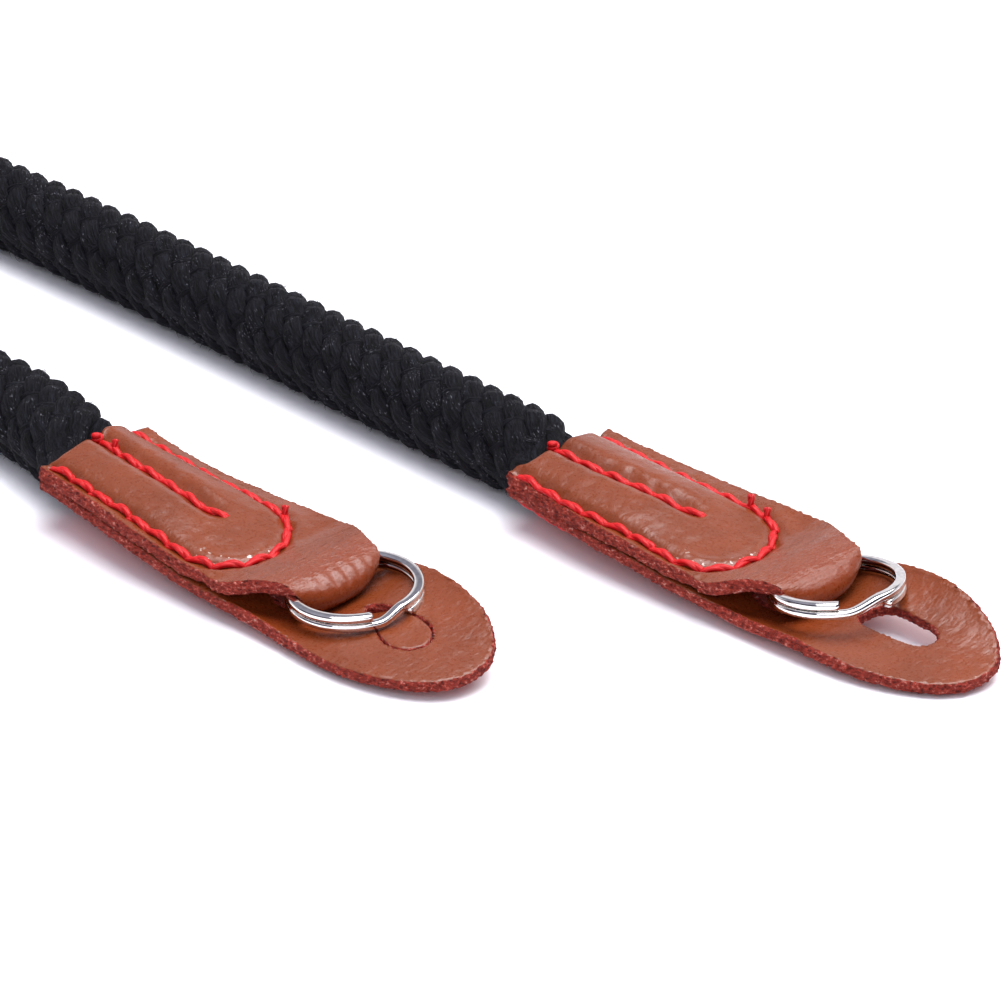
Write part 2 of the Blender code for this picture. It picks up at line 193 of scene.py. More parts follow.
# The strip narrows to its fold, and goes back below the ring: along, near edge and far
# edge, in millimetres.
NECK_ROWS = (
    (33.0, -10.45, 10.45),
    (35.5, -10.4, 10.45),
    (37.0, -10.0, 10.2),
    (39.0, -9.0, 9.2),
    (41.0, -8.0, 8.4),
    (42.8, -7.3, 7.7),
)
FOLD_TURN = 42.8 * MM
FOLD_DEPTH = 4.1 * MM
FOLD_CORNER_LOSS = 0.36
FOLD_CORNER_SHARPNESS = 2.6
LOWER_ARM_SHARE = 0.6
LOWER_ARM_END = 29 * MM
PLEAT_SPACING = 2.0 * MM

# Split rings, of flattened wire
RING_OUTER_RADIUS = 8.47 * MM
RING_LEVEL_CHANGE = 1.1 * MM
RING_END_GAP = 6
WIRE_SQUARENESS = 0.62

# One row for each end. The mouth is given as places across the strip and how far back the
# leather's edge lies there. Seams and cut outlines are traced on the leather. These four are
# in millimetres of the end frame, and angles are in degrees.
END_COLUMNS = (
    "name", "turn", "curl", "tip_lift", "drift", "length", "open_slot", "edge_column",
    "neck_height", "neck_tilt", "ring_centre", "ring_pitch", "ring_roll", "jog_start", "jog_end",
    "pleats", "mouth", "outer_seam", "middle_seam", "cut_line",
)
END_ROWS = (
    (
        "a", 0.0, 2.7 * MM, 0.0, 2.1, 70.4 * MM, True, 1,
        7.35 * MM, 0.05, (46.85 * MM, 0.4 * MM, 5.5 * MM), 7.5, 0.8, -39.0, -4.0,
        0.0,
        (
            (-10.4, 0.0), (-9.0, 0.4), (-7.8, 1.5), (-4.5, 1.7), (-1.4, 0.9), (3.0, 1.3),
            (10.4, 0.0),
        ),
        (
            (1.4, -8.1), (5.5, -8.5), (11.0, -8.9), (18.0, -8.8), (24.0, -8.7), (28.5, -8.9),
            (31.2, -8.7), (33.2, -7.5), (34.5, -6.1), (35.5, -4.4), (35.7, -1.9), (34.9, 1.0),
            (33.4, 3.9), (31.3, 6.1), (28.8, 7.1), (26.0, 7.4), (22.0, 7.2), (16.0, 7.0),
            (8.0, 6.7), (0.9, 6.4),
        ),
        ((0.9, -1.4), (5.0, -1.3), (10.0, -1.0), (15.0, -0.4), (20.0, 0.1), (24.7, 0.2)),
        (
            (50.8, 0.3), (51.4, -0.5), (52.5, -1.1), (54.3, -1.4), (56.3, -1.3), (58.4, -1.2),
            (60.1, -0.9), (61.2, 0.1), (61.5, 1.4), (60.8, 2.7), (59.3, 3.6), (57.0, 3.8),
            (54.0, 3.9), (52.2, 3.5), (51.3, 2.2),
        ),
    ),
    (
        "b", -0.76, 3.2 * MM, 0.7 * MM, -1.3, 69.9 * MM, False, 2,
        7.2 * MM, 0.06, (47.5 * MM, 0.5 * MM, 5.1 * MM), 0.0, 5.7, -21.0, 5.0,
        0.10 * MM,
        (
            (-10.4, 0.0), (-8.8, 0.3), (-7.6, 1.0), (-4.5, 1.0), (0.6, 0.0), (3.0, -0.9),
            (10.4, 0.0),
        ),
        (
            (1.0, -7.6), (6.0, -7.8), (12.0, -8.1), (18.0, -8.4), (22.7, -8.8), (28.1, -9.0),
            (30.7, -8.7), (32.4, -7.6), (33.8, -6.0), (34.6, -4.2), (34.6, -1.9), (33.9, 0.8),
            (32.4, 3.1), (30.8, 4.9), (28.5, 6.4), (26.0, 7.0), (22.0, 7.1), (16.0, 6.9),
            (8.0, 6.6), (0.3, 6.2),
        ),
        ((0.3, 0.6), (5.0, 0.3), (10.0, 0.1), (15.0, 0.0), (20.0, -0.4), (25.0, -0.5)),
        (
            (49.5, 1.3), (50.2, 0.5), (51.8, -0.4), (54.0, -1.7), (56.3, -2.9), (58.2, -3.4),
            (59.9, -3.2), (61.2, -2.1), (61.8, -0.4), (61.2, 1.2), (59.6, 2.5), (57.5, 3.0),
            (55.0, 2.9), (52.4, 2.7), (50.6, 2.3),
        ),
    ),
)
ENDS = [dict(zip(END_COLUMNS, row)) for row in END_ROWS]

# Cut tails of thread on each end: along, across and length, in millimetres
TAILS = {
    "a": ((26.3, 7.2, 1.3), (29.4, 6.8, 1.1)),
    "b": ((28.4, 6.4, 1.1), (3.2, 0.6, 0.9)),
}

# Camera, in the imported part's frame
CAMERA_PLACE = Vector((0.4525, -0.4554, 0.3128))
CAMERA_AZIMUTH = 45.07
CAMERA_ELEVATION = 25.04
CAMERA_ROLL = 1.06
FOCAL_PIXELS = 5870.5
SENSOR_WIDTH = 36.0


def linear(hexadecimal):
    """Turn an sRGB hex colour into linear red, green and blue."""
    values = [int(hexadecimal[i:i + 2], 16) / 255 for i in (0, 2, 4)]
    return tuple(v / 12.92 if v <= 0.04045 else ((v + 0.055) / 1.055) ** 2.4 for v in values)


class StrapSizes(bpy.types.PropertyGroup):
    """Sizes that a user would change."""

    strand_half_width: FloatProperty(
        name="Strand half width", description="Across one strand of the braid",
        default=1.58 * MM, unit="LENGTH", precision=5)
    strand_half_height: FloatProperty(
        name="Strand half height", description="How far a strand stands out from its middle",
        default=1.4 * MM, unit="LENGTH", precision=5)
    braid_pitch: FloatProperty(
        name="Braid pitch", description="Length of rope in which a strand goes round once",
        default=31.2 * MM, unit="LENGTH", precision=5)
    stitch_length: FloatProperty(
        name="Stitch length", description="From one needle hole to the next",
        default=3.9 * MM, unit="LENGTH", precision=5)
    thread_width: FloatProperty(
        name="Thread width", description="Across the twisted waxed thread",
        default=1.15 * MM, unit="LENGTH", precision=5)
    wire_half_width: FloatProperty(
        name="Ring wire half width", description="Half of the flattened wire, along the ring's radius",
        default=0.66 * MM, unit="LENGTH", precision=5)
    wire_half_height: FloatProperty(
        name="Ring wire half height", description="Half of the flattened wire, along the ring's axis",
        default=0.52 * MM, unit="LENGTH", precision=5)


class StrapColours(bpy.types.PropertyGroup):
    """Colours that a user would change."""

    grain: FloatVectorProperty(
        name="Leather", description="Grain side of the leather",
        default=linear("79381A"), subtype="COLOR", size=3, min=0, max=1)
    # Grain colour painted where shade falls, at the strip's fold and on the protector under the ring
    grain_painted_shade: FloatVectorProperty(
        name="Leather in painted shade", description="Grain side with painted shade at the fold and under the ring",
        default=linear("7E3413"), subtype="COLOR", size=3, min=0, max=1)
    cut_edge: FloatVectorProperty(
        name="Cut edge", description="Raw fibres at the cut edges",
        default=linear("A83A2C"), subtype="COLOR", size=3, min=0, max=1)
    thread: FloatVectorProperty(
        name="Thread", description="Waxed sewing thread",
        default=linear("C8050D"), subtype="COLOR", size=3, min=0, max=1)
    yarn: FloatVectorProperty(
        name="Yarn", description="Cotton yarn of the rope",
        default=linear("0B0B10"), subtype="COLOR", size=3, min=0, max=1)


def smooth(value):
    """Ease from 0 to 1."""
    t = np.clip(value, 0.0, 1.0)
    return t * t * (3 - 2 * t)


def ramp(x, start, length):
    """Ease from 0 at a start to 1 a length further on."""
    return smooth((x - start) / length)


def bell(distance, width):
    """Bell curve, 1 where the distance is 0."""
    return np.exp(-(distance / width) ** 2)


def mix(a, b, t):
    """Go from a to b as t goes from 0 to 1."""
    return a + (b - a) * t


def unit(vectors):
    """Scale an array of vectors to length 1."""
    return vectors / np.maximum(np.linalg.norm(vectors, axis=-1, keepdims=True), 1e-12)


def through(rows, column, x):
    """Smooth curve through one column of a table whose first column is x."""
    table = np.array(rows, dtype=float)
    places = table[:, 0]
    values = table[:, column]
    last = len(places) - 1
    before = np.maximum(np.arange(last + 1) - 1, 0)
    after = np.minimum(np.arange(last + 1) + 1, last)
    slopes = (values[after] - values[before]) / (places[after] - places[before])
    i = np.clip(np.searchsorted(places, x, side="right") - 1, 0, last - 1)
    span = places[i + 1] - places[i]
    t = np.clip((x - places[i]) / span, 0, 1)
    rise = values[i + 1] - values[i]
    low = slopes[i] * span
    high = slopes[i + 1] * span
    return values[i] + low * t + (3 * rise - 2 * low - high) * t ** 2 + (low + high - 2 * rise) * t ** 3


def body_half_width(x):
    """Half of the leather's width, which grows from the mouth on."""
    return mix(MOUTH_HALF_WIDTH, BODY_HALF_WIDTH, smooth(x / WIDENING_LENGTH))


def strip_edges(x):
    """Near and far edges of the strip."""
    body = body_half_width(x)
    sewn = x < NECK_ROWS[0][0] * MM
    near = np.where(sewn, -body, through(NECK_ROWS, 1, x / MM) * MM)
    far = np.where(sewn, body, through(NECK_ROWS, 2, x / MM) * MM)
    return near, far


def rim_height(x):
    """Height of the protector's edge, which the rope holds up at the mouth."""
    return RIM_HEIGHT * np.maximum(0.0, 1 - x / PROTECTOR_LENGTH)


def edge_lift(end, x, y):
    """Bend of the far and near edges."""
    along = np.clip(x / PROTECTOR_LENGTH, 0, 1)
    column = end["edge_column"]
    share = np.where(y > 0, through(EDGE_ROWS, column, along), through(EDGE_ROWS, column + 2, along))
    reach = np.maximum(0.0, np.abs(y) / body_half_width(x) - EDGE_LIFT_FROM) / (1 - EDGE_LIFT_FROM)
    return EDGE_LIFT * share * reach ** 2


def under_height(end, x, y):
    """Underside of the protector, pressed down by the rope and again by the ring."""
    full = ROPE_FULL_SHARE * ROPE_INSERT
    share = 1 - ramp(x, full, SEWN_LENGTH - full)
    across = y / body_half_width(x)
    dome = np.maximum(0.0, 1 - (across / SEAM_SHARE) ** 2)
    bulge = UNDER_PRESS * share * rim_height(x) * dome
    push = bell(x - RING_PLACE + RING_RADIUS, RING_PRESS_REACH * RING_RADIUS)
    sag = np.minimum(RING_PRESS, rim_height(x)) * push * ramp(x, SEWN_LENGTH, RING_SEAT)
    sag = sag * np.maximum(0.0, 1 - across ** 4)
    far_side = np.maximum(0.0, (1 + across) / 2) ** CURL_SHARPNESS
    curl = end["curl"] * ramp(x, CURL_START, 2 * RING_RADIUS) * far_side
    lift = end["tip_lift"] * ramp(x, FLAP_START, TIP_LIFT_SHARE * (PROTECTOR_LENGTH - FLAP_START))
    return np.maximum(0.0, rim_height(x) - bulge - sag) + curl + lift + edge_lift(end, x, y)


def line_distance(line, x, y):
    """Distance to a line of points, and how far along it the nearest point is."""
    points = np.array(line) * MM
    best = np.full(np.shape(x), 1.0)
    along = np.zeros(np.shape(x))
    travelled = 0.0
    for a, b in zip(points, points[1:]):
        step = b - a
        length = np.hypot(*step)
        t = np.clip(((x - a[0]) * step[0] + (y - a[1]) * step[1]) / length ** 2, 0, 1)
        distance = np.hypot(x - a[0] - t * step[0], y - a[1] - t * step[1])
        nearer = distance < best
        best = np.where(nearer, distance, best)
        along = np.where(nearer, travelled + t * length, along)
        travelled += length
    return best, along


def seam_sides(end, x):
    """Across position of the outer seam's near and far legs."""
    seam = np.array(end["outer_seam"]) * MM
    front = int(seam[:, 0].argmax())
    near = np.interp(x, seam[:front + 1, 0], seam[:front + 1, 1])
    far = np.interp(x, seam[front:, 0][::-1], seam[front:, 1][::-1])
    return near, far


def relief(end, x, y, stitch_length):
    """Height of the sewn pocket: two humps over the rope, pressed in along both seams."""
    near, far = seam_sides(end, x)
    middle = (near + far) / 2
    across = (y - middle) / ((far - near) / 2)
    dome = HUMP_HEIGHT * (1 - ramp(x, *HUMP_FADE)) * np.maximum(0.0, 1 - across ** 2) ** HUMP_FLATNESS
    away, along = line_distance(end["middle_seam"], x, y)
    puckers = 1 + GROOVE_PUCKER * np.cos(2 * pi * along / stitch_length)
    groove = GROOVE_DEPTH * (1 - ramp(x, *GROOVE_FADE)) * bell(away, GROOVE_WIDTH) * puckers
    away, along = line_distance(end["outer_seam"], x, y)
    puckers = 1 + CHANNEL_PUCKER * np.cos(2 * pi * along / stitch_length)
    channel = CHANNEL_DEPTH * bell(away, CHANNEL_WIDTH) * puckers
    swell = SWELL_HEIGHT * bell(away - SWELL_AWAY, SWELL_WIDTH)
    return dome - groove - channel + swell * ramp(x, *SWELL_RISE)


def top_height(end, x, y, stitch_length):
    """Outer face of the strip: over the rope, then up over the ring's wire."""
    sewn = rim_height(x) + edge_lift(end, x, y) + STACK + relief(end, x, y, stitch_length)
    over_ring = end["neck_height"] + end["neck_tilt"] * y
    return mix(sewn, over_ring, ramp(x, *OVER_RING_RISE))


def strip_thickness(x, y):
    """Full thickness at the long edges, skived thinner over the rope."""
    near, far = strip_edges(x)
    edge = np.minimum(y - near, far - y)
    return mix(STRIP_EDGE, STRIP_MIDDLE, smooth(edge / SKIVED_OVER))


def above(height, x, y, distance):
    """Points at a distance along the normal from the surface that height() gives."""
    reach = 0.05 * MM
    slope_x = (height(x + reach, y) - height(x - reach, y)) / (2 * reach)
    slope_y = (height(x, y + reach) - height(x, y - reach)) / (2 * reach)
    normal = unit(np.stack([-slope_x, -slope_y, np.ones_like(slope_x)], axis=-1))
    return np.stack([x, y, height(x, y)], axis=-1) + normal * distance


def end_matrix(end):
    """World place of an end frame."""
    mouth_b = -(STAGGER + PROTECTOR_LENGTH) / 2
    is_far = end["name"] == "a"
    x = mouth_b + STAGGER if is_far else mouth_b
    y = LANE_CENTRE + (LANE_SPACING / 2 if is_far else -LANE_SPACING / 2)
    return Matrix.Translation((x, y, 0)) @ Matrix.Rotation(radians(end["turn"]), 4, "Z")


def moved(matrix, points):
    """Apply a 4 by 4 matrix to an array of points."""
    table = np.array(matrix)
    return points @ table[:3, :3].T + table[:3, 3]


def rough(points, size, amount, seed):
    """Small smooth random shifts, the same on every run, for an array of points."""
    noise.seed_set(NOISE_SEED)
    flat = points.reshape(-1, 3)
    shifts = np.empty_like(flat)
    for i, point in enumerate(flat):
        spot = Vector(point / size) + Vector((seed, 0.37 * seed, 0))
        shifts[i] = noise.noise_vector(spot)
    return shifts.reshape(points.shape) * amount


def make_object(name, mesh, finishes):
    """Link a mesh as a piece that rides on the strap."""
    made = bpy.data.objects.new(name, mesh)
    bpy.context.scene.collection.objects.link(made)
    for finish in finishes:
        mesh.materials.append(finish)
    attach(made, "root")
    return made


def mesh_from(name, points, faces, uvs=None, kinds=None):
    """Build a smooth-shaded mesh.

    uvs has one pair for each corner of each face, and kinds a material number for each face.
    """
    mesh = bpy.data.meshes.new(name)
    mesh.from_pydata(points.tolist(), [], faces)
    if uvs is not None:
        layer = mesh.uv_layers.new(name="yarn")
        layer.data.foreach_set("uv", np.asarray(uvs, dtype=np.float32).ravel())
    if kinds is not None:
        mesh.polygons.foreach_set("material_index", np.asarray(kinds, dtype=np.int32))
    mesh.polygons.foreach_set("use_smooth", np.ones(len(faces), dtype=bool))
    mesh.update()
    return mesh


def rings_along(path, up, half_width, half_height, around, squareness=1.0):
    """Rings of an oval section along a path; up is the direction of the half height."""
    ahead = unit(np.gradient(path, axis=0))
    side = unit(np.cross(up, ahead))
    up = np.cross(ahead, side)
    turn = np.linspace(0, 2 * pi, around, endpoint=False)
    wide = np.sign(np.cos(turn)) * np.abs(np.cos(turn)) ** squareness
    high = np.sign(np.sin(turn)) * np.abs(np.sin(turn)) ** squareness
    width = np.broadcast_to(half_width, len(path))[:, None, None]
    height = np.broadcast_to(half_height, len(path))[:, None, None]
    flat = side[:, None] * wide[None, :, None] * width
    return path[:, None] + flat + up[:, None] * high[None, :, None] * height


def tubes_mesh(name, tubes):
    """One mesh of closed tubes, each an array of rings. U runs round, V along in millimetres."""
    points = []
    faces = []
    uvs = []
    base = 0
    for rings in tubes:
        count, around = rings.shape[:2]
        middle = rings.mean(axis=1)
        steps = np.linalg.norm(np.diff(middle, axis=0), axis=1)
        along = np.concatenate([[0.0], np.cumsum(steps)]) / MM
        i, j = np.meshgrid(np.arange(count - 1), np.arange(around), indexing="ij")
        k = (j + 1) % around
        quads = np.stack([i * around + j, i * around + k, (i + 1) * around + k, (i + 1) * around + j], -1)
        faces.extend((quads.reshape(-1, 4) + base).tolist())
        u0 = j / around
        u1 = (j + 1) / around
        corners = np.stack([u0, along[i], u1, along[i], u1, along[i + 1], u0, along[i + 1]], -1)
        uvs.append(corners.reshape(-1, 2))
        last = base + (count - 1) * around
        faces.append([base + n for n in reversed(range(around))])
        faces.append([last + n for n in range(around)])
        uvs.append(np.tile([[0.5, along[0]]], (around, 1)))
        uvs.append(np.tile([[0.5, along[-1]]], (around, 1)))
        points.append(rings.reshape(-1, 3))
        base += count * around
    return mesh_from(name, np.concatenate(points), faces, np.concatenate(uvs))


def fill_sockets(tree, node, inputs):
    """Give sockets values or links. A node that is given stands for its first output."""
    for socket, value in inputs.items():
        if isinstance(value, bpy.types.Node):
            value = value.outputs[0]
        if isinstance(value, bpy.types.NodeSocket):
            tree.links.new(value, node.inputs[socket])
        else:
            node.inputs[socket].default_value = value


def add_node(tree, kind, inputs=None, stops=(), **settings):
    """Add a node with its options, its sockets' values or links, and its ramp's colours."""
    node = tree.nodes.new("ShaderNode" + kind)
    for name, value in settings.items():
        setattr(node, name, value)
    fill_sockets(tree, node, inputs or {})
    for number, (position, colour) in enumerate(stops):
        elements = node.color_ramp.elements
        element = elements[number] if number < len(elements) else elements.new(position)
        element.position = position
        element.color = (*colour, 1)
    return node


def start_material(name, **values):
    """A new material, its tree and its shader with the values that are the same all over."""
    made = bpy.data.materials.new(name)
    made.use_nodes = True
    shader = made.node_tree.nodes["Principled BSDF"]
    fill_sockets(made.node_tree, shader, {key.replace("_", " "): v for key, v in values.items()})
    return made, made.node_tree, shader


def millimetres(tree, stretch=(1, 1, 1)):
    """Place on the strap in millimetres, stretched along each axis."""
    place = add_node(tree, "TexCoord").outputs["Object"]
    return add_node(tree, "Mapping", {"Vector": place, "Scale": tuple(1000 * s for s in stretch)})


def scaled(colour, factor):
    """A colour made lighter or darker."""
    return tuple(min(1.0, c * factor) for c in colour)


def grain_leather(colours):
    """Chrome-tanned cowhide, plated and pigmented: satin, with soft pebbles and cross creases."""
    made, tree, shader = start_material(
        "chrome_tanned_leather_pigmented", IOR=1.5, Specular_IOR_Level=0.45)
    place = millimetres(tree)
    cloud = add_node(tree, "TexNoise", {"Vector": place, "Scale": 0.16, "Detail": 4.0})
    base = add_node(tree, "ValToRGB", {"Fac": cloud}, (
        (0.3, scaled(colours.grain, 0.88)), (0.7, scaled(colours.grain, 1.1))))
    # Painted shade: a stored share turns the grain a darker orange brown at the strip's fold and under
    # the ring.
    tone = add_node(tree, "Attribute", attribute_name="painted_shade")
    painted_shade_mix = add_node(tree, "Mix", {
        0: tone.outputs["Fac"], 6: base, 7: (*colours.grain_painted_shade, 1)}, data_type="RGBA")
    # Short creases run across the strip where it is stretched towards the ring.
    across = add_node(tree, "TexNoise", {
        "Vector": millimetres(tree, (1.0, 0.3, 0.6)), "Scale": 1.2, "Detail": 3.0, "Roughness": 0.6})
    stretched = add_node(tree, "Attribute", attribute_name="creased")
    creases = add_node(tree, "Math", {0: across, 1: stretched.outputs["Fac"]}, operation="MULTIPLY")
    fine = add_node(tree, "TexNoise", {"Vector": place, "Scale": 2.4, "Detail": 4.0})
    pores = add_node(tree, "ValToRGB", {"Fac": fine}, ((0.30, (0.80, 0.76, 0.74)), (0.46, (1, 1, 1))))
    # This mix with the pores also carries the painted shade of the fold and the ring.
    worn = add_node(tree, "Mix", {
        0: 0.5, 6: painted_shade_mix.outputs[2], 7: pores}, data_type="RGBA", blend_type="MULTIPLY")
    # Off-white specks are mixed into the colour beside the seam's front.
    specks = add_node(tree, "TexNoise", {"Vector": place, "Scale": 1.5, "Detail": 2.0})
    flecks = add_node(tree, "ValToRGB", {"Fac": specks}, ((0.64, (0, 0, 0)), (0.69, (1, 1, 1))))
    specked = add_node(tree, "Attribute", attribute_name="pale_specks")
    pale_specks = add_node(tree, "Math", {0: flecks, 1: specked.outputs["Fac"]}, operation="MULTIPLY")
    colour = add_node(tree, "Mix", {
        0: pale_specks, 6: worn.outputs[2], 7: (0.75, 0.68, 0.62, 1)}, data_type="RGBA")
    # Pebbles about 1.5 mm across lie on slow dents of 3 mm, under pores finer than 0.5 mm.
    pebbles = add_node(tree, "TexVoronoi", {
        "Vector": place, "Scale": 0.68, "Smoothness": 0.8}, feature="SMOOTH_F1")
    dents = add_node(tree, "TexNoise", {"Vector": place, "Scale": 0.3, "Detail": 2.0})
    bump = add_node(tree, "Bump", {"Height": dents, "Distance": 0.17 * MM})
    for height, depth in ((pebbles, 0.09 * MM), (creases, 0.4 * MM), (fine, 0.04 * MM)):
        bump = add_node(tree, "Bump", {"Height": height, "Distance": depth, "Normal": bump})
    satin = add_node(tree, "MapRange", {
        "Value": fine, "From Min": 0.3, "From Max": 0.7, "To Min": 0.24, "To Max": 0.36})
    fill_sockets(tree, shader, {"Base Color": colour.outputs[2], "Normal": bump, "Roughness": satin})
    return made


def raw_edge(colours):
    """Cut cowhide, dyed through and left unsealed: open fibres that look dry and speckled."""
    made, tree, shader = start_material("cut_leather_fibres", Roughness=0.8, Specular_IOR_Level=0.25)
    place = millimetres(tree, (0.7, 0.9, 1.25))
    # Bundles of fibres about 0.5 mm across, drawn coarser than real so that they show.
    fibres = add_node(tree, "TexNoise", {
        "Vector": place, "Scale": 2.1, "Detail": 5.0, "Roughness": 0.72})
    base = add_node(tree, "ValToRGB", {"Fac": fibres}, (
        (0.36, scaled(colours.cut_edge, 0.22)), (0.47, scaled(colours.cut_edge, 0.8)),
        (0.57, scaled(colours.cut_edge, 1.35)), (0.68, (0.80, 0.42, 0.34))))
    patches = add_node(tree, "TexNoise", {"Vector": place, "Scale": 1.0, "Detail": 3.0})
    shade = add_node(tree, "ValToRGB", {"Fac": patches}, ((0.3, (0.7, 0.66, 0.66)), (0.7, (1, 1, 1))))
    colour = add_node(tree, "Mix", {
        0: 0.8, 6: base, 7: shade}, data_type="RGBA", blend_type="MULTIPLY")
    bump = add_node(tree, "Bump", {"Height": fibres, "Distance": 0.7 * MM})
    fill_sockets(tree, shader, {"Base Color": colour.outputs[2], "Normal": bump})
    return made


def flesh_side(colours):
    """Split underside of the hide, buffed: short nap, duller and redder than the grain side."""
    made, tree, shader = start_material("buffed_leather_nap", Roughness=0.9, IOR=1.45, Sheen_Weight=0.2)
    nap = add_node(tree, "TexNoise", {
        "Vector": millimetres(tree), "Scale": 3.4, "Detail": 5.0, "Roughness": 0.7})
    base = add_node(tree, "ValToRGB", {"Fac": nap}, (
        (0.3, scaled(colours.cut_edge, 0.6)), (0.7, scaled(colours.cut_edge, 1.3))))
    bump = add_node(tree, "Bump", {"Height": nap, "Distance": 0.15 * MM})
    fill_sockets(tree, shader, {"Base Color": base, "Normal": bump})
    return made


def braided_cotton(colours):
    """Dyed cotton, spun, doubled and braided: matt black, with painted highlights as fibre glints."""
    made, tree, shader = start_material(
        "braided_cotton_yarn", Roughness=0.7, IOR=1.5, Specular_IOR_Level=0.12)
    parts = add_node(tree, "SeparateXYZ", {"Vector": add_node(tree, "UVMap", uv_map="yarn")})
    around = parts.outputs["X"]
    along = parts.outputs["Y"]
    # Yarns lie side by side along a strand, nearly 0.3 mm apart, with a slight twist.
    twist = add_node(tree, "Math", {0: along, 1: 0.03, 2: around}, operation="MULTIPLY_ADD")
    fan = add_node(tree, "Math", {0: twist, 1: 34.0}, operation="MULTIPLY")
    slow = add_node(tree, "Math", {0: along, 1: 0.55}, operation="MULTIPLY")
    lay = add_node(tree, "CombineXYZ", {"X": fan, "Y": slow})
    yarns = add_node(tree, "TexNoise", {"Vector": lay, "Scale": 1.0, "Detail": 3.0, "Roughness": 0.6})
    tones = add_node(tree, "ValToRGB", {"Fac": yarns}, (
        (0.32, scaled(colours.yarn, 0.2)), (0.5, colours.yarn), (0.66, scaled(colours.yarn, 3.4))))
    # Painted highlights: glints of short lengths of single fibres are added to the colour, in clusters a
    # few millimetres apart.
    short = add_node(tree, "Math", {0: along, 1: 1.5}, operation="MULTIPLY")
    dots = add_node(tree, "CombineXYZ", {"X": fan, "Y": short})
    glints = add_node(tree, "TexNoise", {"Vector": dots, "Scale": 1.6, "Detail": 1.0})
    bright = add_node(tree, "ValToRGB", {"Fac": glints}, ((0.62, (0, 0, 0)), (0.74, (0.13, 0.13, 0.15))))
    cluster = add_node(tree, "TexNoise", {"Vector": millimetres(tree), "Scale": 0.42, "Detail": 1.0})
    lit = add_node(tree, "ValToRGB", {"Fac": cluster}, ((0.50, (0.05, 0.05, 0.05)), (0.62, (1, 1, 1))))
    painted_glints = add_node(tree, "Mix", {
        0: 1.0, 6: bright, 7: lit}, data_type="RGBA", blend_type="MULTIPLY")
    colour = add_node(tree, "Mix", {
        0: 1.0, 6: tones, 7: painted_glints.outputs[2]}, data_type="RGBA", blend_type="ADD")
    bump = add_node(tree, "Bump", {"Height": yarns, "Distance": 0.55 * MM})
    fill_sockets(tree, shader, {"Base Color": colour.outputs[2], "Normal": bump})
    return made


def waxed_thread(colours):
    """Waxed polyester sewing thread, two plies: saturated red with a soft sheen."""
    made, tree, shader = start_material(
        "waxed_polyester_thread", Roughness=0.5, IOR=1.5, Specular_IOR_Level=0.3)
    uv = add_node(tree, "UVMap", uv_map="yarn")
    # Fibres run along a ply, 14 round it, and change tone every 1.25 mm.
    stretch = add_node(tree, "Mapping", {"Vector": uv, "Scale": (14.0, 0.8, 1.0)})
    fibres = add_node(tree, "TexNoise", {"Vector": stretch, "Scale": 1.0, "Detail": 2.0})
    base = add_node(tree, "ValToRGB", {"Fac": fibres}, (
        (0.3, scaled(colours.thread, 0.7)), (0.55, colours.thread),
        (0.75, tuple(mix(c, 1.0, 0.08) for c in colours.thread))))
    bump = add_node(tree, "Bump", {"Height": fibres, "Distance": 0.05 * MM})
    fill_sockets(tree, shader, {"Base Color": base, "Normal": bump})
    return made


def nickel_plate():
    """Bright nickel on spring steel, barrel-polished: mirror-like with faint handling marks."""
    made, tree, shader = start_material("nickel_plated_spring_steel", Metallic=1.0)
    marks = add_node(tree, "TexNoise", {
        "Vector": millimetres(tree, (1, 1, 3)), "Scale": 1.7, "Detail": 4.0})
    base = add_node(tree, "ValToRGB", {"Fac": marks}, (
        (0.3, linear("D9D6D2")), (0.7, linear("F1EFEC"))))
    polish = add_node(tree, "MapRange", {
        "Value": marks, "From Min": 0.3, "From Max": 0.7, "To Min": 0.03, "To Max": 0.09})
    fill_sockets(tree, shader, {"Base Color": base, "Roughness": polish})
    return made


def finish_named(name, maker, *args):
    """Make a finish once and share it between pieces."""
    return bpy.data.materials.get(name) or maker(*args)


def leather_finishes(colours):
    """Finishes of a sheet of leather: grain side, cut edges and flesh side."""
    return (
        finish_named("chrome_tanned_leather_pigmented", grain_leather, colours),
        finish_named("cut_leather_fibres", raw_edge, colours),
        finish_named("buffed_leather_nap", flesh_side, colours),
    )


def catmull_rom(points, per_span):
    """Smooth curve through points."""
    line = [points[0] * 2 - points[1], *points, points[-1] * 2 - points[-2]]
    curve = []
    for p0, p1, p2, p3 in zip(line, line[1:], line[2:], line[3:]):
        for i in range(per_span):
            t = i / per_span
            bend = (2 * p0 - 5 * p1 + 4 * p2 - p3) * t * t + (3 * p1 - p0 - 3 * p2 + p3) * t ** 3
            curve.append((2 * p1 + (p2 - p0) * t + bend) / 2)
    curve.append(points[-1])
    return curve


def rope_line(per_span):
    """Middle of the whole rope from the far pocket to the near one."""
    far, near = (end_matrix(end) for end in ENDS)
    depths = [ROPE_INSERT * i / 8 for i in range(8, -1, -1)]
    first = [far @ Vector((x, 0, ROPE_RADIUS)) for x in depths]
    last = [near @ Vector((x, 0, ROPE_RADIUS)) for x in reversed(depths)]
    free = [Vector((x, y, ROPE_RADIUS)) for x, y in ROPE_ROUTE]
    return first[:-1] + catmull_rom([first[-1], *free, last[0]], per_span) + last[1:]


def resample(points, step):
    """Points at an even step along a line, and their distances along it."""
    line = np.array([list(p) for p in points])
    travelled = np.concatenate([[0.0], np.cumsum(np.linalg.norm(np.diff(line, axis=0), axis=1))])
    count = int(round(travelled[-1] / step))
    places = np.linspace(0, travelled[-1], count + 1)
    columns = [np.interp(places, travelled, line[:, i]) for i in range(line.shape[1])]
    return np.stack(columns, axis=-1), places


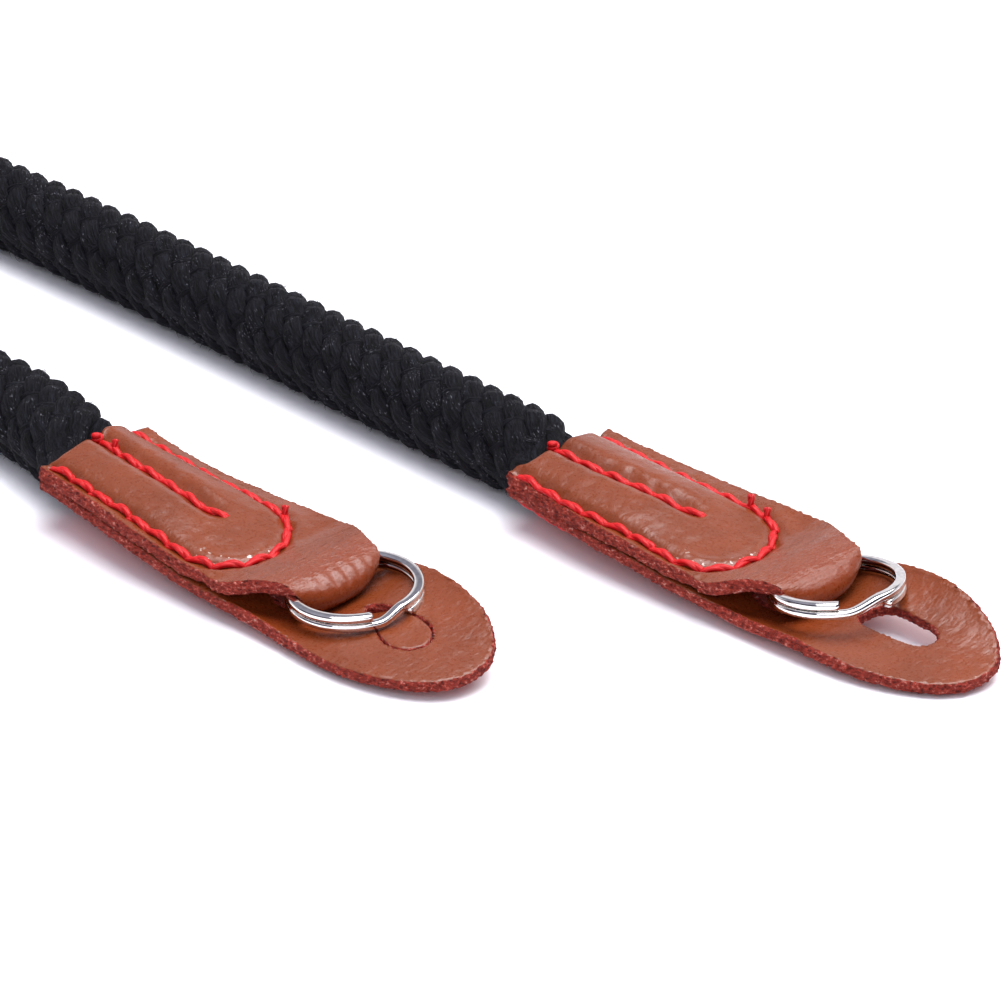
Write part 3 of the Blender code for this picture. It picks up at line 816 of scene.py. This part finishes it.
def pressed_into_pockets(points, stitch_length, margin):
    """Move points of the round rope to where the sewn pockets squeeze them."""
    out = points.copy()
    for end in ENDS:
        place = end_matrix(end)
        local = moved(place.inverted(), points)
        chosen = (np.abs(local[:, 1]) < 2 * ROPE_RADIUS) & (local[:, 0] > -ROPE_PRESSED_OVER)
        spots = local[chosen]
        inside = np.maximum(0.0, spots[:, 0])
        turn = np.arctan2(spots[:, 2] - ROPE_RADIUS, spots[:, 1])
        share = np.hypot(spots[:, 2] - ROPE_RADIUS, spots[:, 1]) / ROPE_RADIUS
        near, far = seam_sides(end, inside)
        middle = (near + far) / 2
        y = middle + ROPE_POCKET_SHARE * (far - near) / 2 * np.cos(turn)
        top = top_height(end, inside, y, stitch_length) - STRIP_MIDDLE
        bottom = under_height(end, inside, y) + PROTECTOR_THICKNESS
        room = np.maximum(0.1 * MM, (top - bottom) / 2 - margin)
        centre = np.stack([spots[:, 0], middle, (top + bottom) / 2], -1)
        reach = np.stack([np.zeros_like(y), y - middle, room * np.sin(turn)], -1)
        pressed = centre + reach * share[:, None]
        ease = smooth((spots[:, 0] + ROPE_PRESSED_OVER) / ROPE_PRESSED_OVER)[:, None]
        out[chosen] = moved(place, mix(spots, pressed, ease))
    return out


def strand_paths(sizes, line, places, way):
    """Middles of the strands of one direction of the braid, and their outward ways."""
    ahead = unit(np.gradient(line, axis=0))
    up = np.array([0.0, 0.0, 1.0])
    side = unit(np.cross(up, ahead))
    paths = []
    for strand in range(STRANDS_EACH_WAY):
        turn = way["direction"] * 2 * pi * places / sizes.braid_pitch + strand * 2 * pi / STRANDS_EACH_WAY
        radius = (way["distance"] + way["weave"] * np.cos(STRANDS_EACH_WAY * turn)) * MM
        outward = side * np.cos(turn)[:, None] + up * np.sin(turn)[:, None]
        paths.append((line + outward * radius[:, None], outward))
    return paths


def fuzz_tubes(paths, count, reach, seed):
    """Short stray fibres that stand up from the strands."""
    rng = random.Random(seed)
    tubes = []
    for _ in range(count):
        path, outward = rng.choice(paths)
        i = rng.randrange(4, len(path) - 4)
        out = outward[i]
        ahead = unit((path[i + 1] - path[i - 1])[None])[0]
        side = np.cross(out, ahead)
        lean = ahead * rng.uniform(-1, 1) + side * rng.uniform(-1, 1)
        length = rng.uniform(0.4, 1.7) * MM
        root = path[i] + out * reach + side * rng.uniform(-0.6, 0.6) * MM
        t = np.linspace(0, 1, 4)[:, None]
        bend = rng.uniform(-0.8, 0.8)
        hair = root + out * length * 0.5 * t * (1 - 0.35 * t) + lean * length * (0.3 * t + bend * t * t)
        hair[:, 2] = np.maximum(hair[:, 2], 0.03 * MM)
        thin = HAIR_RADIUS * (1 - 0.6 * t[:, 0])
        tubes.append(rings_along(hair, np.broadcast_to(side, hair.shape), thin, thin, 3))
    return tubes


class STRAP_OT_rope(bpy.types.Operator):
    """Make the braided rope, its strands and its stray fibres"""

    bl_idname = "strap.rope"
    bl_label = "Rope"

    def execute(self, context):
        sizes = context.scene.strap_sizes
        cotton = finish_named("braided_cotton_yarn", braided_cotton, context.scene.strap_colours)
        stitch = sizes.stitch_length
        fine, fine_places = resample(rope_line(24), ROPE_STEP)
        coarse = fine[::5]
        up = np.tile([0.0, 0.0, 1.0], (len(coarse), 1))
        round_core = rings_along(coarse, up, ROPE_CORE_RADIUS, ROPE_CORE_RADIUS, 20)
        pressed_core = pressed_into_pockets(round_core.reshape(-1, 3), stitch, 0.5 * MM)
        core_mesh = tubes_mesh("rope_core", [pressed_core.reshape(round_core.shape)])
        core = make_object("rope_core", core_mesh, (cotton,))
        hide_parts("rope")
        # Strands start a little inside the pockets. Steps are short where the camera sees them.
        whole = fine_places[-1]
        reach = (fine_places > ROPE_INSERT - 6 * MM) & (fine_places < whole - ROPE_INSERT + 6 * MM)
        seen = (fine_places < SEEN_FROM_FAR_END) | (fine_places > whole - SEEN_FROM_NEAR_END)
        kept = reach & (seen | (np.arange(len(fine)) % 2 == 0))
        line = fine[kept]
        places = fine_places[kept]
        high_paths = []
        for way in BRAID:
            half_width = way["width"] * sizes.strand_half_width
            paths = strand_paths(sizes, line, places, way)
            for part, few in enumerate((paths[:4], paths[4:])):
                tubes = []
                for path, outward in few:
                    pressed = pressed_into_pockets(path, stitch, 1.1 * MM)
                    rings = rings_along(
                        pressed, outward, half_width, sizes.strand_half_height, way["around"], 0.9)
                    rings = rings + rough(rings, 0.8 * MM, STRAND_ROUGHNESS, 3)
                    rings[..., 2] = np.maximum(rings[..., 2], 0.02 * MM)
                    tubes.append(rings)
                    if way["name"] == "right":
                        high_paths.append((pressed, outward))
                label = f"rope_strands_{way['name']}_{part + 1}"
                make_object(label, tubes_mesh(label, tubes), (cotton,))
        hairs = fuzz_tubes(high_paths, HAIR_COUNT, 0.95 * sizes.strand_half_height, 7)
        make_object("rope_fuzz", tubes_mesh("rope_fuzz", hairs), (cotton,))
        path = [list(p) for p in coarse]
        return {"FINISHED"}


def ways_out(loop):
    """Directions to the right of a closed loop of points, away from the leather."""
    ahead = np.roll(loop, -1, axis=0) - np.roll(loop, 1, axis=0)
    return unit(np.stack([ahead[:, 1], -ahead[:, 0]], axis=-1))


def closed_line(corners, step):
    """Smooth closed loop through corner points, at an even step."""
    points = [Vector(corner) for corner in corners]
    around = [*points[-2:], *points, *points[:3]]
    curve = catmull_rom(around, 8)[16:-16]
    return resample(curve, step)[0][:-1]


def inside_loop(loop, spots):
    """Which spots lie inside a closed loop."""
    inside = np.zeros(len(spots), dtype=bool)
    for a, b in zip(loop, np.roll(loop, -1, axis=0)):
        crosses = (a[1] > spots[:, 1]) != (b[1] > spots[:, 1])
        rise = b[1] - a[1] if b[1] != a[1] else 1.0
        meets = a[0] + (spots[:, 1] - a[1]) * (b[0] - a[0]) / rise
        inside ^= crosses & (spots[:, 0] < meets)
    return inside


def triangles_between(loops, spacing):
    """Fill the first loop, less the others, with triangles. Millimetres."""
    outline, holes = loops[0], loops[1:]
    low = outline.min(axis=0)
    high = outline.max(axis=0)
    rows = []
    for number, y in enumerate(np.arange(low[1], high[1], spacing * 0.87)):
        x = np.arange(low[0] + spacing * 0.5 * (number % 2), high[0], spacing)
        rows.append(np.stack([x, np.full_like(x, y)], -1))
    grid = np.concatenate(rows)
    kept = inside_loop(outline, grid)
    for hole in holes:
        kept &= ~inside_loop(hole, grid)
    for loop in loops:
        apart = np.array([np.hypot(*(loop - spot).T).min() for spot in grid])
        kept &= apart > 0.55 * spacing
    spots = np.concatenate([*loops, grid[kept]])
    edges = []
    start = 0
    for loop in loops:
        count = len(loop)
        edges += [(start + i, start + (i + 1) % count) for i in range(count)]
        start += count
    made = geometry.delaunay_2d_cdt([Vector(spot) for spot in spots], edges, [], 0, 1e-5)
    places = np.array([list(v) for v in made[0]])
    faces = np.array(made[2])
    middle = places[faces].mean(axis=1)
    good = inside_loop(outline, middle)
    for hole in holes:
        good &= ~inside_loop(hole, middle)
    return places, faces[good]


def store_marks(mesh, end, seam_front):
    """Keep where the leather gets painted shade, where it is creased and where it has off-white specks,
    for its finish.
    """
    points = np.empty(3 * len(mesh.vertices))
    mesh.vertices.foreach_get("co", points)
    local = moved(end_matrix(end).inverted(), points.reshape(-1, 3))
    x, y, _z = local.T
    if seam_front:
        away, _along = line_distance(end["outer_seam"], x, y)
        near, far = seam_sides(end, x)
        inner = (y > near) & (y < far) & (x > 28 * MM)
        neck = ramp(x, 33 * MM, 4 * MM) * (1 - 0.7 * ramp(x, 43 * MM, 3 * MM))
        near_side = smooth((1 * MM - y) / (2 * MM))
        marks = {
            # Painted shade, growing towards the strip's fold
            "painted_shade": 0.85 * ramp(x, 38 * MM, 6 * MM),
            "creased": np.maximum(neck, 0.4 * bell(away - 0.8 * MM, 0.9 * MM)),
            # Off-white specks beside the seam's front, on its near side
            "pale_specks": inner * bell(away - 1.2 * MM, 0.7 * MM) * near_side,
        }
    else:
        near_side = smooth((-y + 5 * MM) / (8 * MM))
        marks = {
            # Painted shade on the protector under the ring, on its near side
            "painted_shade": 0.9 * bell(x - 42 * MM, 7 * MM) * near_side,
            "creased": 0.25 + 0.0 * x,
            "pale_specks": 0.0 * x,
        }
    for name, values in marks.items():
        layer = mesh.attributes.new(name, "FLOAT", "POINT")
        layer.data.foreach_set("value", np.asarray(values, dtype=np.float32))


def protector_outline(end):
    """Outline of a protector, anticlockwise from above, in millimetres."""
    length = end["length"]
    tip_start = length - TIP_LENGTH
    straight = np.linspace(0, tip_start, 60)
    turns = np.linspace(0, pi / 2, 40)[1:]
    x = np.concatenate([straight, tip_start + TIP_LENGTH * np.sin(turns) ** TIP_FULLNESS])
    half = np.concatenate([body_half_width(straight), BODY_HALF_WIDTH * np.cos(turns) ** TIP_FULLNESS])
    near = np.stack([x, -half], -1)
    far = np.stack([x, half], -1)[::-1][1:]
    return resample(np.concatenate([near, far, near[:1]]), 0.28 * MM)[0][:-1] / MM


def leather_sheet(name, end, loops, raggedness, seed, sink=None):
    """Closed sheet of leather over the floor outline, with walls along every loop."""
    places, faces = triangles_between(loops, 0.6)
    flat = places * MM
    sheet = above(lambda a, b: under_height(end, a, b), flat[:, 0], flat[:, 1], PROTECTOR_THICKNESS)
    base = np.stack([flat[:, 0], flat[:, 1], under_height(end, flat[:, 0], flat[:, 1])], -1)
    corners = places[faces]
    first = corners[:, 1] - corners[:, 0]
    second = corners[:, 2] - corners[:, 0]
    backwards = first[:, 0] * second[:, 1] - first[:, 1] * second[:, 0] < 0
    faces[backwards] = faces[backwards][:, ::-1]
    count = len(places)
    layers = 7
    shares = np.linspace(-1, 1, layers)
    points = [sheet, base]
    quads = faces.tolist() + (faces[:, ::-1] + count).tolist()
    kinds = [0] * len(faces) + [2] * len(faces)
    next_free = 2 * count
    tops = np.stack([sheet, base])
    for loop in loops:
        number = len(loop)
        nearest = np.array([np.hypot(*(places - spot).T).argmin() for spot in loop])
        outward = np.concatenate([ways_out(loop), np.zeros((number, 1))], axis=-1)
        wall = mix(base[nearest][:, None], sheet[nearest][:, None], (shares[None, :, None] + 1) / 2)
        fray = rough(wall, FIBRE_SIZE, raggedness, seed)
        push = (fray * outward[:, None]).sum(-1) - WORN_CORNER * np.abs(shares)[None] ** 4
        wall = wall + outward[:, None] * push[..., None] + 0.4 * fray
        tops[0, nearest] = wall[:, -1]
        tops[1, nearest] = wall[:, 0]
        inner = np.arange(number * (layers - 2)).reshape(number, layers - 2) + next_free
        points.append(wall[:, 1:-1].reshape(-1, 3))
        next_free += inner.size
        column = np.concatenate([(nearest + count)[:, None], inner, nearest[:, None]], axis=1)
        after = np.roll(column, -1, axis=0)
        walls = np.stack([column[:, :-1], after[:, :-1], after[:, 1:], column[:, 1:]], -1).reshape(-1, 4)
        quads += walls.tolist()
        kinds += [1] * len(walls)
    points[0] = tops[0]
    points[1] = tops[1]
    points = np.concatenate(points)
    points = points + rough(points, 6 * MM, 0.05 * MM, seed)
    if sink is not None:
        points[:, 2] -= sink(points[:, 0])
    points[:, 1] += np.maximum(0.0, points[:, 0] - FLAP_START) * sin(radians(end["drift"]))
    points[:, 2] = np.maximum(points[:, 2], 0.01 * MM)
    return mesh_from(name, moved(end_matrix(end), points), quads, None, kinds)


def strip_surface(end, stitch_length):
    """Outer face of the folded strip as a grid of points, and its thickness at each."""
    shares = np.linspace(-1, 1, 61)
    mouth = through(end["mouth"], 1, 10.4 * shares)[None, :] * MM
    grid_x = mix(mouth, FOLD_TURN, np.linspace(0, 1, 150)[:, None])
    near, far = strip_edges(grid_x)
    grid_y = mix(near, far, (shares[None, :] + 1) / 2)
    top = np.stack([grid_x, grid_y, top_height(end, grid_x, grid_y, stitch_length)], -1)
    thickness = strip_thickness(grid_x, grid_y)
    high = top[-1]
    seat = under_height(end, high[:, 0], high[:, 1]) + PROTECTOR_THICKNESS + LAYER_GAP
    rows = [top]
    walls = [thickness]
    front = FOLD_DEPTH * (1 - FOLD_CORNER_LOSS * np.abs(shares) ** FOLD_CORNER_SHARPNESS)
    in_middle = np.exp(-((shares - 0.1) / 0.6) ** 4)
    pleats = end["pleats"] * np.cos(2 * pi * high[:, 1] / PLEAT_SPACING) * in_middle
    for turn in np.linspace(0, pi, 30)[1:-1]:
        narrow = mix(1.0, LOWER_ARM_SHARE, smooth(turn / pi))
        raised = pleats * max(0.0, sin(2.1 * turn)) * (turn < 1.5)
        row = np.stack([
            FOLD_TURN + front * sin(turn) + raised * sin(turn),
            high[:, 1] * narrow,
            (high[:, 2] + seat) / 2 + (high[:, 2] - seat) / 2 * cos(turn) + raised * cos(turn)], -1)
        rows.append(row[None])
        walls.append(mix(thickness[-1], STRIP_FOLDED, smooth(turn / 1.2))[None])
    back = np.linspace(FOLD_TURN, LOWER_ARM_END, 40)
    back_y = np.repeat(LOWER_ARM_SHARE * high[None, :, 1], len(back), axis=0)
    back_x = np.repeat(back[:, None], len(shares), axis=1)
    under = under_height(end, back_x, back_y) + PROTECTOR_THICKNESS + LAYER_GAP
    rows.append(np.stack([back_x, back_y, under], -1))
    walls.append(np.full(back_x.shape, STRIP_UNDER))
    return np.concatenate(rows), np.concatenate(walls)


def strip_block(outer, thickness, layers, raggedness, seed):
    """Give the strip's outer face its thickness, with rounded and frayed edges."""
    along = np.gradient(outer, axis=0)
    across = np.gradient(outer, axis=1)
    normal = unit(np.cross(along, across))
    shares = np.linspace(1, 0, layers)
    depth = shares[None, None, :, None] * thickness[:, :, None, None]
    block = outer[:, :, None] - normal[:, :, None] * depth
    inset = WORN_CORNER * np.abs(2 * shares - 1) ** 4
    sides = block[:, [0, -1]]
    fray = rough(sides, FIBRE_SIZE, raggedness, seed)
    outward = unit(across[:, [0, -1]]) * np.array([-1.0, 1.0])[None, :, None]
    push = (fray * outward[:, :, None]).sum(-1) - inset[None, None]
    block[:, [0, -1]] = sides + outward[:, :, None] * push[..., None] + 0.4 * fray
    return block


def block_mesh(name, block):
    """Outer skin of a sheet given as points in rows, columns and layers.

    Faces of the last layer get material 0, of the first layer 2 and of the edges 1.
    """
    rows, columns, layers = block.shape[:3]
    number = -np.ones((rows, columns, layers), dtype=int)
    outside = np.zeros((rows, columns, layers), dtype=bool)
    for axis in range(3):
        view = np.moveaxis(outside, axis, 0)
        view[0] = True
        view[-1] = True
    number[outside] = np.arange(outside.sum())
    sides = (
        (number[:, :, -1], 0, False), (number[:, :, 0], 2, True),
        (number[:, 0, :], 1, False), (number[:, -1, :], 1, True),
        (number[0, :, :], 1, True), (number[-1, :, :], 1, False),
    )
    faces = []
    kinds = []
    for grid, kind, flip in sides:
        quads = np.stack([grid[:-1, :-1], grid[1:, :-1], grid[1:, 1:], grid[:-1, 1:]], -1).reshape(-1, 4)
        faces.extend((quads[:, ::-1] if flip else quads).tolist())
        kinds.extend([kind] * len(quads))
    return mesh_from(name, block[outside], faces, None, kinds)


class STRAP_OT_leather(bpy.types.Operator):
    """Make the folded leather strips and the long protectors"""

    bl_idname = "strap.leather"
    bl_label = "Leather"

    def execute(self, context):
        sizes = context.scene.strap_sizes
        finishes = leather_finishes(context.scene.strap_colours)
        for number, end in enumerate(ENDS):
            self.make_protector(end, finishes, 3 + number)
            self.make_strip(end, finishes, 13 + number, sizes.stitch_length)
        return {"FINISHED"}

    def make_protector(self, end, finishes, seed):
        """The long bottom layer, with its open slot or with the plug still in its cut."""
        name = f"leather_protector_{end['name']}"
        hole = closed_line(end["cut_line"], 0.25)[::-1]
        mesh = leather_sheet(name, end, [protector_outline(end), hole], PROTECTOR_FRAY, seed)
        store_marks(mesh, end, False)
        piece = make_object(name, mesh, finishes)
        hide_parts(f"protector_{end['name']}")
        if end["open_slot"]:
            return
        # The cut plug of leather still lies in its hole, with its narrow end pushed down.
        rim = hole[::-1]
        plug = rim - ways_out(rim) * (0.03 + 0.12 * smooth((rim[:, :1] - 54.5) / 4))
        mesh = leather_sheet(
            "leather_plug_b", end, [plug], PLUG_FRAY, seed + 5,
            lambda x: 0.04 * MM + 1.0 * MM * smooth((54.0 * MM - x) / (4 * MM)))
        store_marks(mesh, end, False)
        make_object("leather_plug_b", mesh, finishes)

    def make_strip(self, end, finishes, seed, stitch_length):
        """The strip that is sewn over the rope and folded round the ring."""
        name = f"leather_strip_{end['name']}"
        block = strip_block(*strip_surface(end, stitch_length), 9, STRIP_FRAY, seed)
        block = block + rough(block, 5 * MM, 0.04 * MM, seed)
        mesh = block_mesh(name, moved(end_matrix(end), block))
        store_marks(mesh, end, True)
        piece = make_object(name, mesh, finishes)
        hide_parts(f"tab_{end['name']}")


class STRAP_OT_rings(bpy.types.Operator):
    """Make the two split rings"""

    bl_idname = "strap.rings"
    bl_label = "Split rings"

    def execute(self, context):
        sizes = context.scene.strap_sizes
        nickel = finish_named("nickel_plated_spring_steel", nickel_plate)
        for end in ENDS:
            tilt = Matrix.Rotation(-radians(end["ring_pitch"]), 4, "Y")
            tilt @= Matrix.Rotation(radians(end["ring_roll"]), 4, "X")
            place = end_matrix(end) @ Matrix.Translation(end["ring_centre"]) @ tilt
            first = end["jog_end"] + RING_END_GAP
            last = 720 + end["jog_start"] - RING_END_GAP
            angles = np.radians(np.linspace(first, last, 240))
            jog = (np.degrees(angles) - 360 - end["jog_start"]) / (end["jog_end"] - end["jog_start"])
            level = RING_LEVEL_CHANGE * (smooth(jog) - 0.5)
            radius = RING_OUTER_RADIUS - sizes.wire_half_width
            path = np.stack([radius * np.cos(angles), radius * np.sin(angles), level], -1)
            up = np.tile([0.0, 0.0, 1.0], (len(path), 1))
            rings = rings_along(
                path, up, sizes.wire_half_width, sizes.wire_half_height, 20, WIRE_SQUARENESS)
            name = f"split_ring_{end['name']}"
            piece = make_object(name, tubes_mesh(name, [moved(place, rings)]), (nickel,))
            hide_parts(f"ring_{end['name']}")
        return {"FINISHED"}


def seam_points(line, step):
    """Needle holes at an even step along a seam, in metres."""
    points = [Vector((x * MM, y * MM)) for x, y in line]
    return resample(catmull_rom(points, 6), step)[0]


def twisted_thread(path, normals, width, lay, start):
    """Two plies of thread wound round a path."""
    ahead = unit(np.gradient(path, axis=0))
    side = unit(np.cross(normals, ahead))
    up = np.cross(ahead, side)
    steps = np.linalg.norm(np.diff(path, axis=0), axis=1)
    along = np.concatenate([[0.0], np.cumsum(steps)])
    tubes = []
    for ply in (0, pi):
        turn = 2 * pi * along / lay + ply + start
        offset = side * np.cos(turn)[:, None] + up * np.sin(turn)[:, None]
        tubes.append(rings_along(path + offset * width * 0.12, normals, width * 0.38, width * 0.32, 9))
    return tubes


class STRAP_OT_stitches(bpy.types.Operator):
    """Sew the leather with twisted thread, with its knots and cut tails"""

    bl_idname = "strap.stitches"
    bl_label = "Stitches"

    def execute(self, context):
        sizes = context.scene.strap_sizes
        red = finish_named("waxed_polyester_thread", waxed_thread, context.scene.strap_colours)
        for end in ENDS:
            tubes = []
            for seam in ("outer_seam", "middle_seam"):
                holes = seam_points(end[seam], sizes.stitch_length)
                tubes += self.sew(end, holes, sizes, True)
                tubes += self.sew(end, holes, sizes, False)
            tubes += self.knots(end, sizes)
            name = f"stitches_{end['name']}"
            mesh = tubes_mesh(name, [moved(end_matrix(end), rings) for rings in tubes])
            make_object(name, mesh, (red,))
        return {"FINISHED"}

    def surface(self, end, x, y, sizes, on_top):
        """Height of the leather that the thread lies on."""
        if on_top:
            return top_height(end, x, y, sizes.stitch_length)
        return under_height(end, x, y)

    def sew(self, end, holes, sizes, on_top):
        """Stitches that slant a little from hole to hole and dip into the leather at both ends."""
        tubes = []
        outward = 1.0 if on_top else -1.0
        rng = random.Random(int(1e6 * abs(holes[0][1])) + len(holes))
        for a, b in zip(holes, holes[1:]):
            t = np.linspace(-0.07, 1.07, 21)
            side = unit((b - a)[None])[0][::-1] * (-1, 1)
            slant = (t - 0.5) * rng.uniform(0.05, 0.25) * MM + rng.uniform(-0.08, 0.08) * MM
            x = mix(a[0], b[0], t) + side[0] * slant
            y = mix(a[1], b[1], t) + side[1] * slant
            arch = np.clip(np.sin(pi * np.clip(t, 0, 1)), 0, 1) ** 0.35
            lift = mix(-0.2 * MM, 0.28 * sizes.thread_width, arch)
            if not on_top:
                lift = lift * 0.35
            z = self.surface(end, x, y, sizes, on_top) + outward * lift
            if not on_top:
                z = np.maximum(z, 0.46 * sizes.thread_width)
            path = np.stack([x, y, z], -1)
            normals = np.tile([0.0, 0.0, 1.0], (len(path), 1))
            tubes += twisted_thread(path, normals, sizes.thread_width, 5.5 * MM, rng.uniform(0, pi))
        return tubes

    def knots(self, end, sizes):
        """A knot where the middle seam starts, and the cut tails of thread."""
        x0, y0 = (v * MM for v in end["middle_seam"][0])
        z0 = float(self.surface(end, np.array([x0]), np.array([y0]), sizes, True)[0])
        t = np.linspace(0, 1, 40)
        loop = np.stack([
            x0 - 0.5 * MM + 0.4 * MM * np.cos(4 * pi * t),
            y0 + 0.5 * MM * np.sin(4 * pi * t),
            z0 + 0.1 * MM + 1.1 * MM * t], -1)
        tubes = [rings_along(loop, np.tile([0.0, 0.0, 1.0], (len(t), 1)), 0.36 * MM, 0.36 * MM, 9)]
        for tail_x, tail_y, length in TAILS[end["name"]]:
            x = np.full(8, tail_x * MM) + np.linspace(0, -0.4, 8) * MM
            y = np.full(8, tail_y * MM) + np.linspace(0, 0.4, 8) * MM
            z = self.surface(end, x[:1], y[:1], sizes, True)[0] + np.linspace(0.1, length + 0.5, 8) * MM
            path = np.stack([x, y, z], -1)
            sideways = np.tile([0.0, 1.0, 0.0], (8, 1))
            tubes += twisted_thread(path, sideways, 0.9 * sizes.thread_width, 2.5 * MM, 0.0)
        return tubes


class STRAP_OT_stage(bpy.types.Operator):
    """Set up the floor, the soft lights and the camera"""

    bl_idname = "strap.stage"
    bl_label = "Stage"

    def execute(self, context):
        self.make_camera(context)
        self.make_floor()
        self.make_lights(context)
        self.make_world(context)
        context.scene.view_settings.view_transform = "Standard"
        return {"FINISHED"}

    def make_camera(self, context):
        """The camera that the photo was taken with, as far as its outlines tell."""
        azimuth, elevation, roll = (radians(v) for v in (CAMERA_AZIMUTH, CAMERA_ELEVATION, CAMERA_ROLL))
        look = Vector((
            -sin(azimuth) * cos(elevation), cos(azimuth) * cos(elevation), -sin(elevation)))
        level = Vector((cos(azimuth), sin(azimuth), 0))
        upright = level.cross(look)
        right = level * cos(roll) + upright * sin(roll)
        up = upright * cos(roll) - level * sin(roll)
        data = bpy.data.cameras.new("camera")
        data.sensor_width = SENSOR_WIDTH
        data.lens = FOCAL_PIXELS / IMAGE_SIDE * SENSOR_WIDTH
        data.clip_start = 0.05
        data.clip_end = 20
        made = bpy.data.objects.new("camera", data)
        context.scene.collection.objects.link(made)
        turn = Matrix((right, up, -look)).transposed().to_4x4()
        made.matrix_world = Matrix.Translation(CAMERA_PLACE) @ turn
        context.scene.camera = made

    def make_floor(self):
        """A wide sheet of white paper below the strap."""
        mesh = bpy.data.meshes.new("floor")
        reach = 6.0
        corners = [(-reach, -reach, 0), (reach, -reach, 0), (reach, reach, 0), (-reach, reach, 0)]
        mesh.from_pydata(corners, [], [(0, 1, 2, 3)])
        paper = start_material(
            "matt_white_paper", Base_Color=(0.92, 0.92, 0.95, 1), Roughness=0.9, Specular_IOR_Level=0.1)
        mesh.materials.append(paper[0])
        floor = bpy.data.objects.new("floor", mesh)
        bpy.context.scene.collection.objects.link(floor)

    def make_lights(self, context):
        """Three soft boxes: name, place, size in metres, power in watts and colour."""
        rows = (
            ("key", (0.18, 0.55, 1.15), 1.1, 14.0, (1.0, 0.99, 0.98)),
            ("fill", (0.6, -0.9, 0.7), 1.2, 7.0, (0.93, 0.94, 1.0)),
            ("top", (-0.05, 0.1, 1.3), 1.0, 17.0, (0.98, 0.98, 1.0)),
        )
        for name, place, size, power, colour in rows:
            data = bpy.data.lights.new(name, "AREA")
            data.size = size
            data.energy = power
            data.color = colour
            made = bpy.data.objects.new(name, data)
            context.scene.collection.objects.link(made)
            aim = (Vector((-0.02, 0.0, 0.0)) - Vector(place)).to_track_quat("-Z", "Y")
            made.matrix_world = Matrix.Translation(place) @ aim.to_matrix().to_4x4()

    def make_world(self, context):
        """A white backdrop behind the strap, a dark room on the camera's side and panels above."""
        world = bpy.data.worlds.new("studio")
        world.use_nodes = True
        tree = world.node_tree
        way = add_node(tree, "TexCoord")
        parts = add_node(tree, "SeparateXYZ", {"Vector": way})
        backdrop = add_node(tree, "ValToRGB", {"Fac": parts.outputs["Z"]}, (
            (0.0, (0.92, 0.90, 1.0)), (0.42, (0.97, 0.95, 1.0)), (0.54, (0.24, 0.24, 0.30)),
            (1.0, (0.40, 0.40, 0.50))))
        room = add_node(tree, "ValToRGB", {"Fac": parts.outputs["Z"]}, (
            (0.0, (0.03, 0.03, 0.05)), (0.45, (0.04, 0.04, 0.06)), (0.75, (0.40, 0.39, 0.50)),
            (1.0, (0.40, 0.40, 0.50))))
        behind = add_node(tree, "VectorMath", {0: way, 1: (-0.707, 0.707, 0.0)}, operation="DOT_PRODUCT")
        side = add_node(tree, "ValToRGB", {"Fac": behind.outputs["Value"]}, (
            (0.05, (0, 0, 0)), (0.40, (1, 1, 1))))
        studio = add_node(tree, "Mix", {0: side, 6: room, 7: backdrop}, data_type="RGBA")
        fill_sockets(tree, tree.nodes["Background"], {"Color": studio.outputs[2], "Strength": 1.0})
        context.scene.world = world


class STRAP_PT_panel(bpy.types.Panel):
    """Lists the pieces, sizes and colours of the strap"""

    bl_idname = "STRAP_PT_panel"
    bl_label = "Camera shoulder strap"
    bl_space_type = "VIEW_3D"
    bl_region_type = "UI"
    bl_category = "Strap"

    def draw(self, context):
        for operator in OPERATORS:
            self.layout.operator(operator.bl_idname)
        for group in (context.scene.strap_sizes, context.scene.strap_colours):
            for name in group.__annotations__:
                self.layout.prop(group, name)


OPERATORS = (STRAP_OT_stage, STRAP_OT_rope, STRAP_OT_leather, STRAP_OT_rings, STRAP_OT_stitches)
CLASSES = (StrapSizes, StrapColours, *OPERATORS, STRAP_PT_panel)


def register():
    for made in CLASSES:
        bpy.utils.register_class(made)
    bpy.types.Scene.strap_sizes = PointerProperty(type=StrapSizes)
    bpy.types.Scene.strap_colours = PointerProperty(type=StrapColours)


def unregister():
    del bpy.types.Scene.strap_colours
    del bpy.types.Scene.strap_sizes
    for made in reversed(CLASSES):
        bpy.utils.unregister_class(made)


def main():
    register()
    bpy.ops.strap.stage()
    bpy.ops.strap.rope()
    bpy.ops.strap.leather()
    bpy.ops.strap.rings()
    bpy.ops.strap.stitches()


if __name__ == "__main__":
    main()
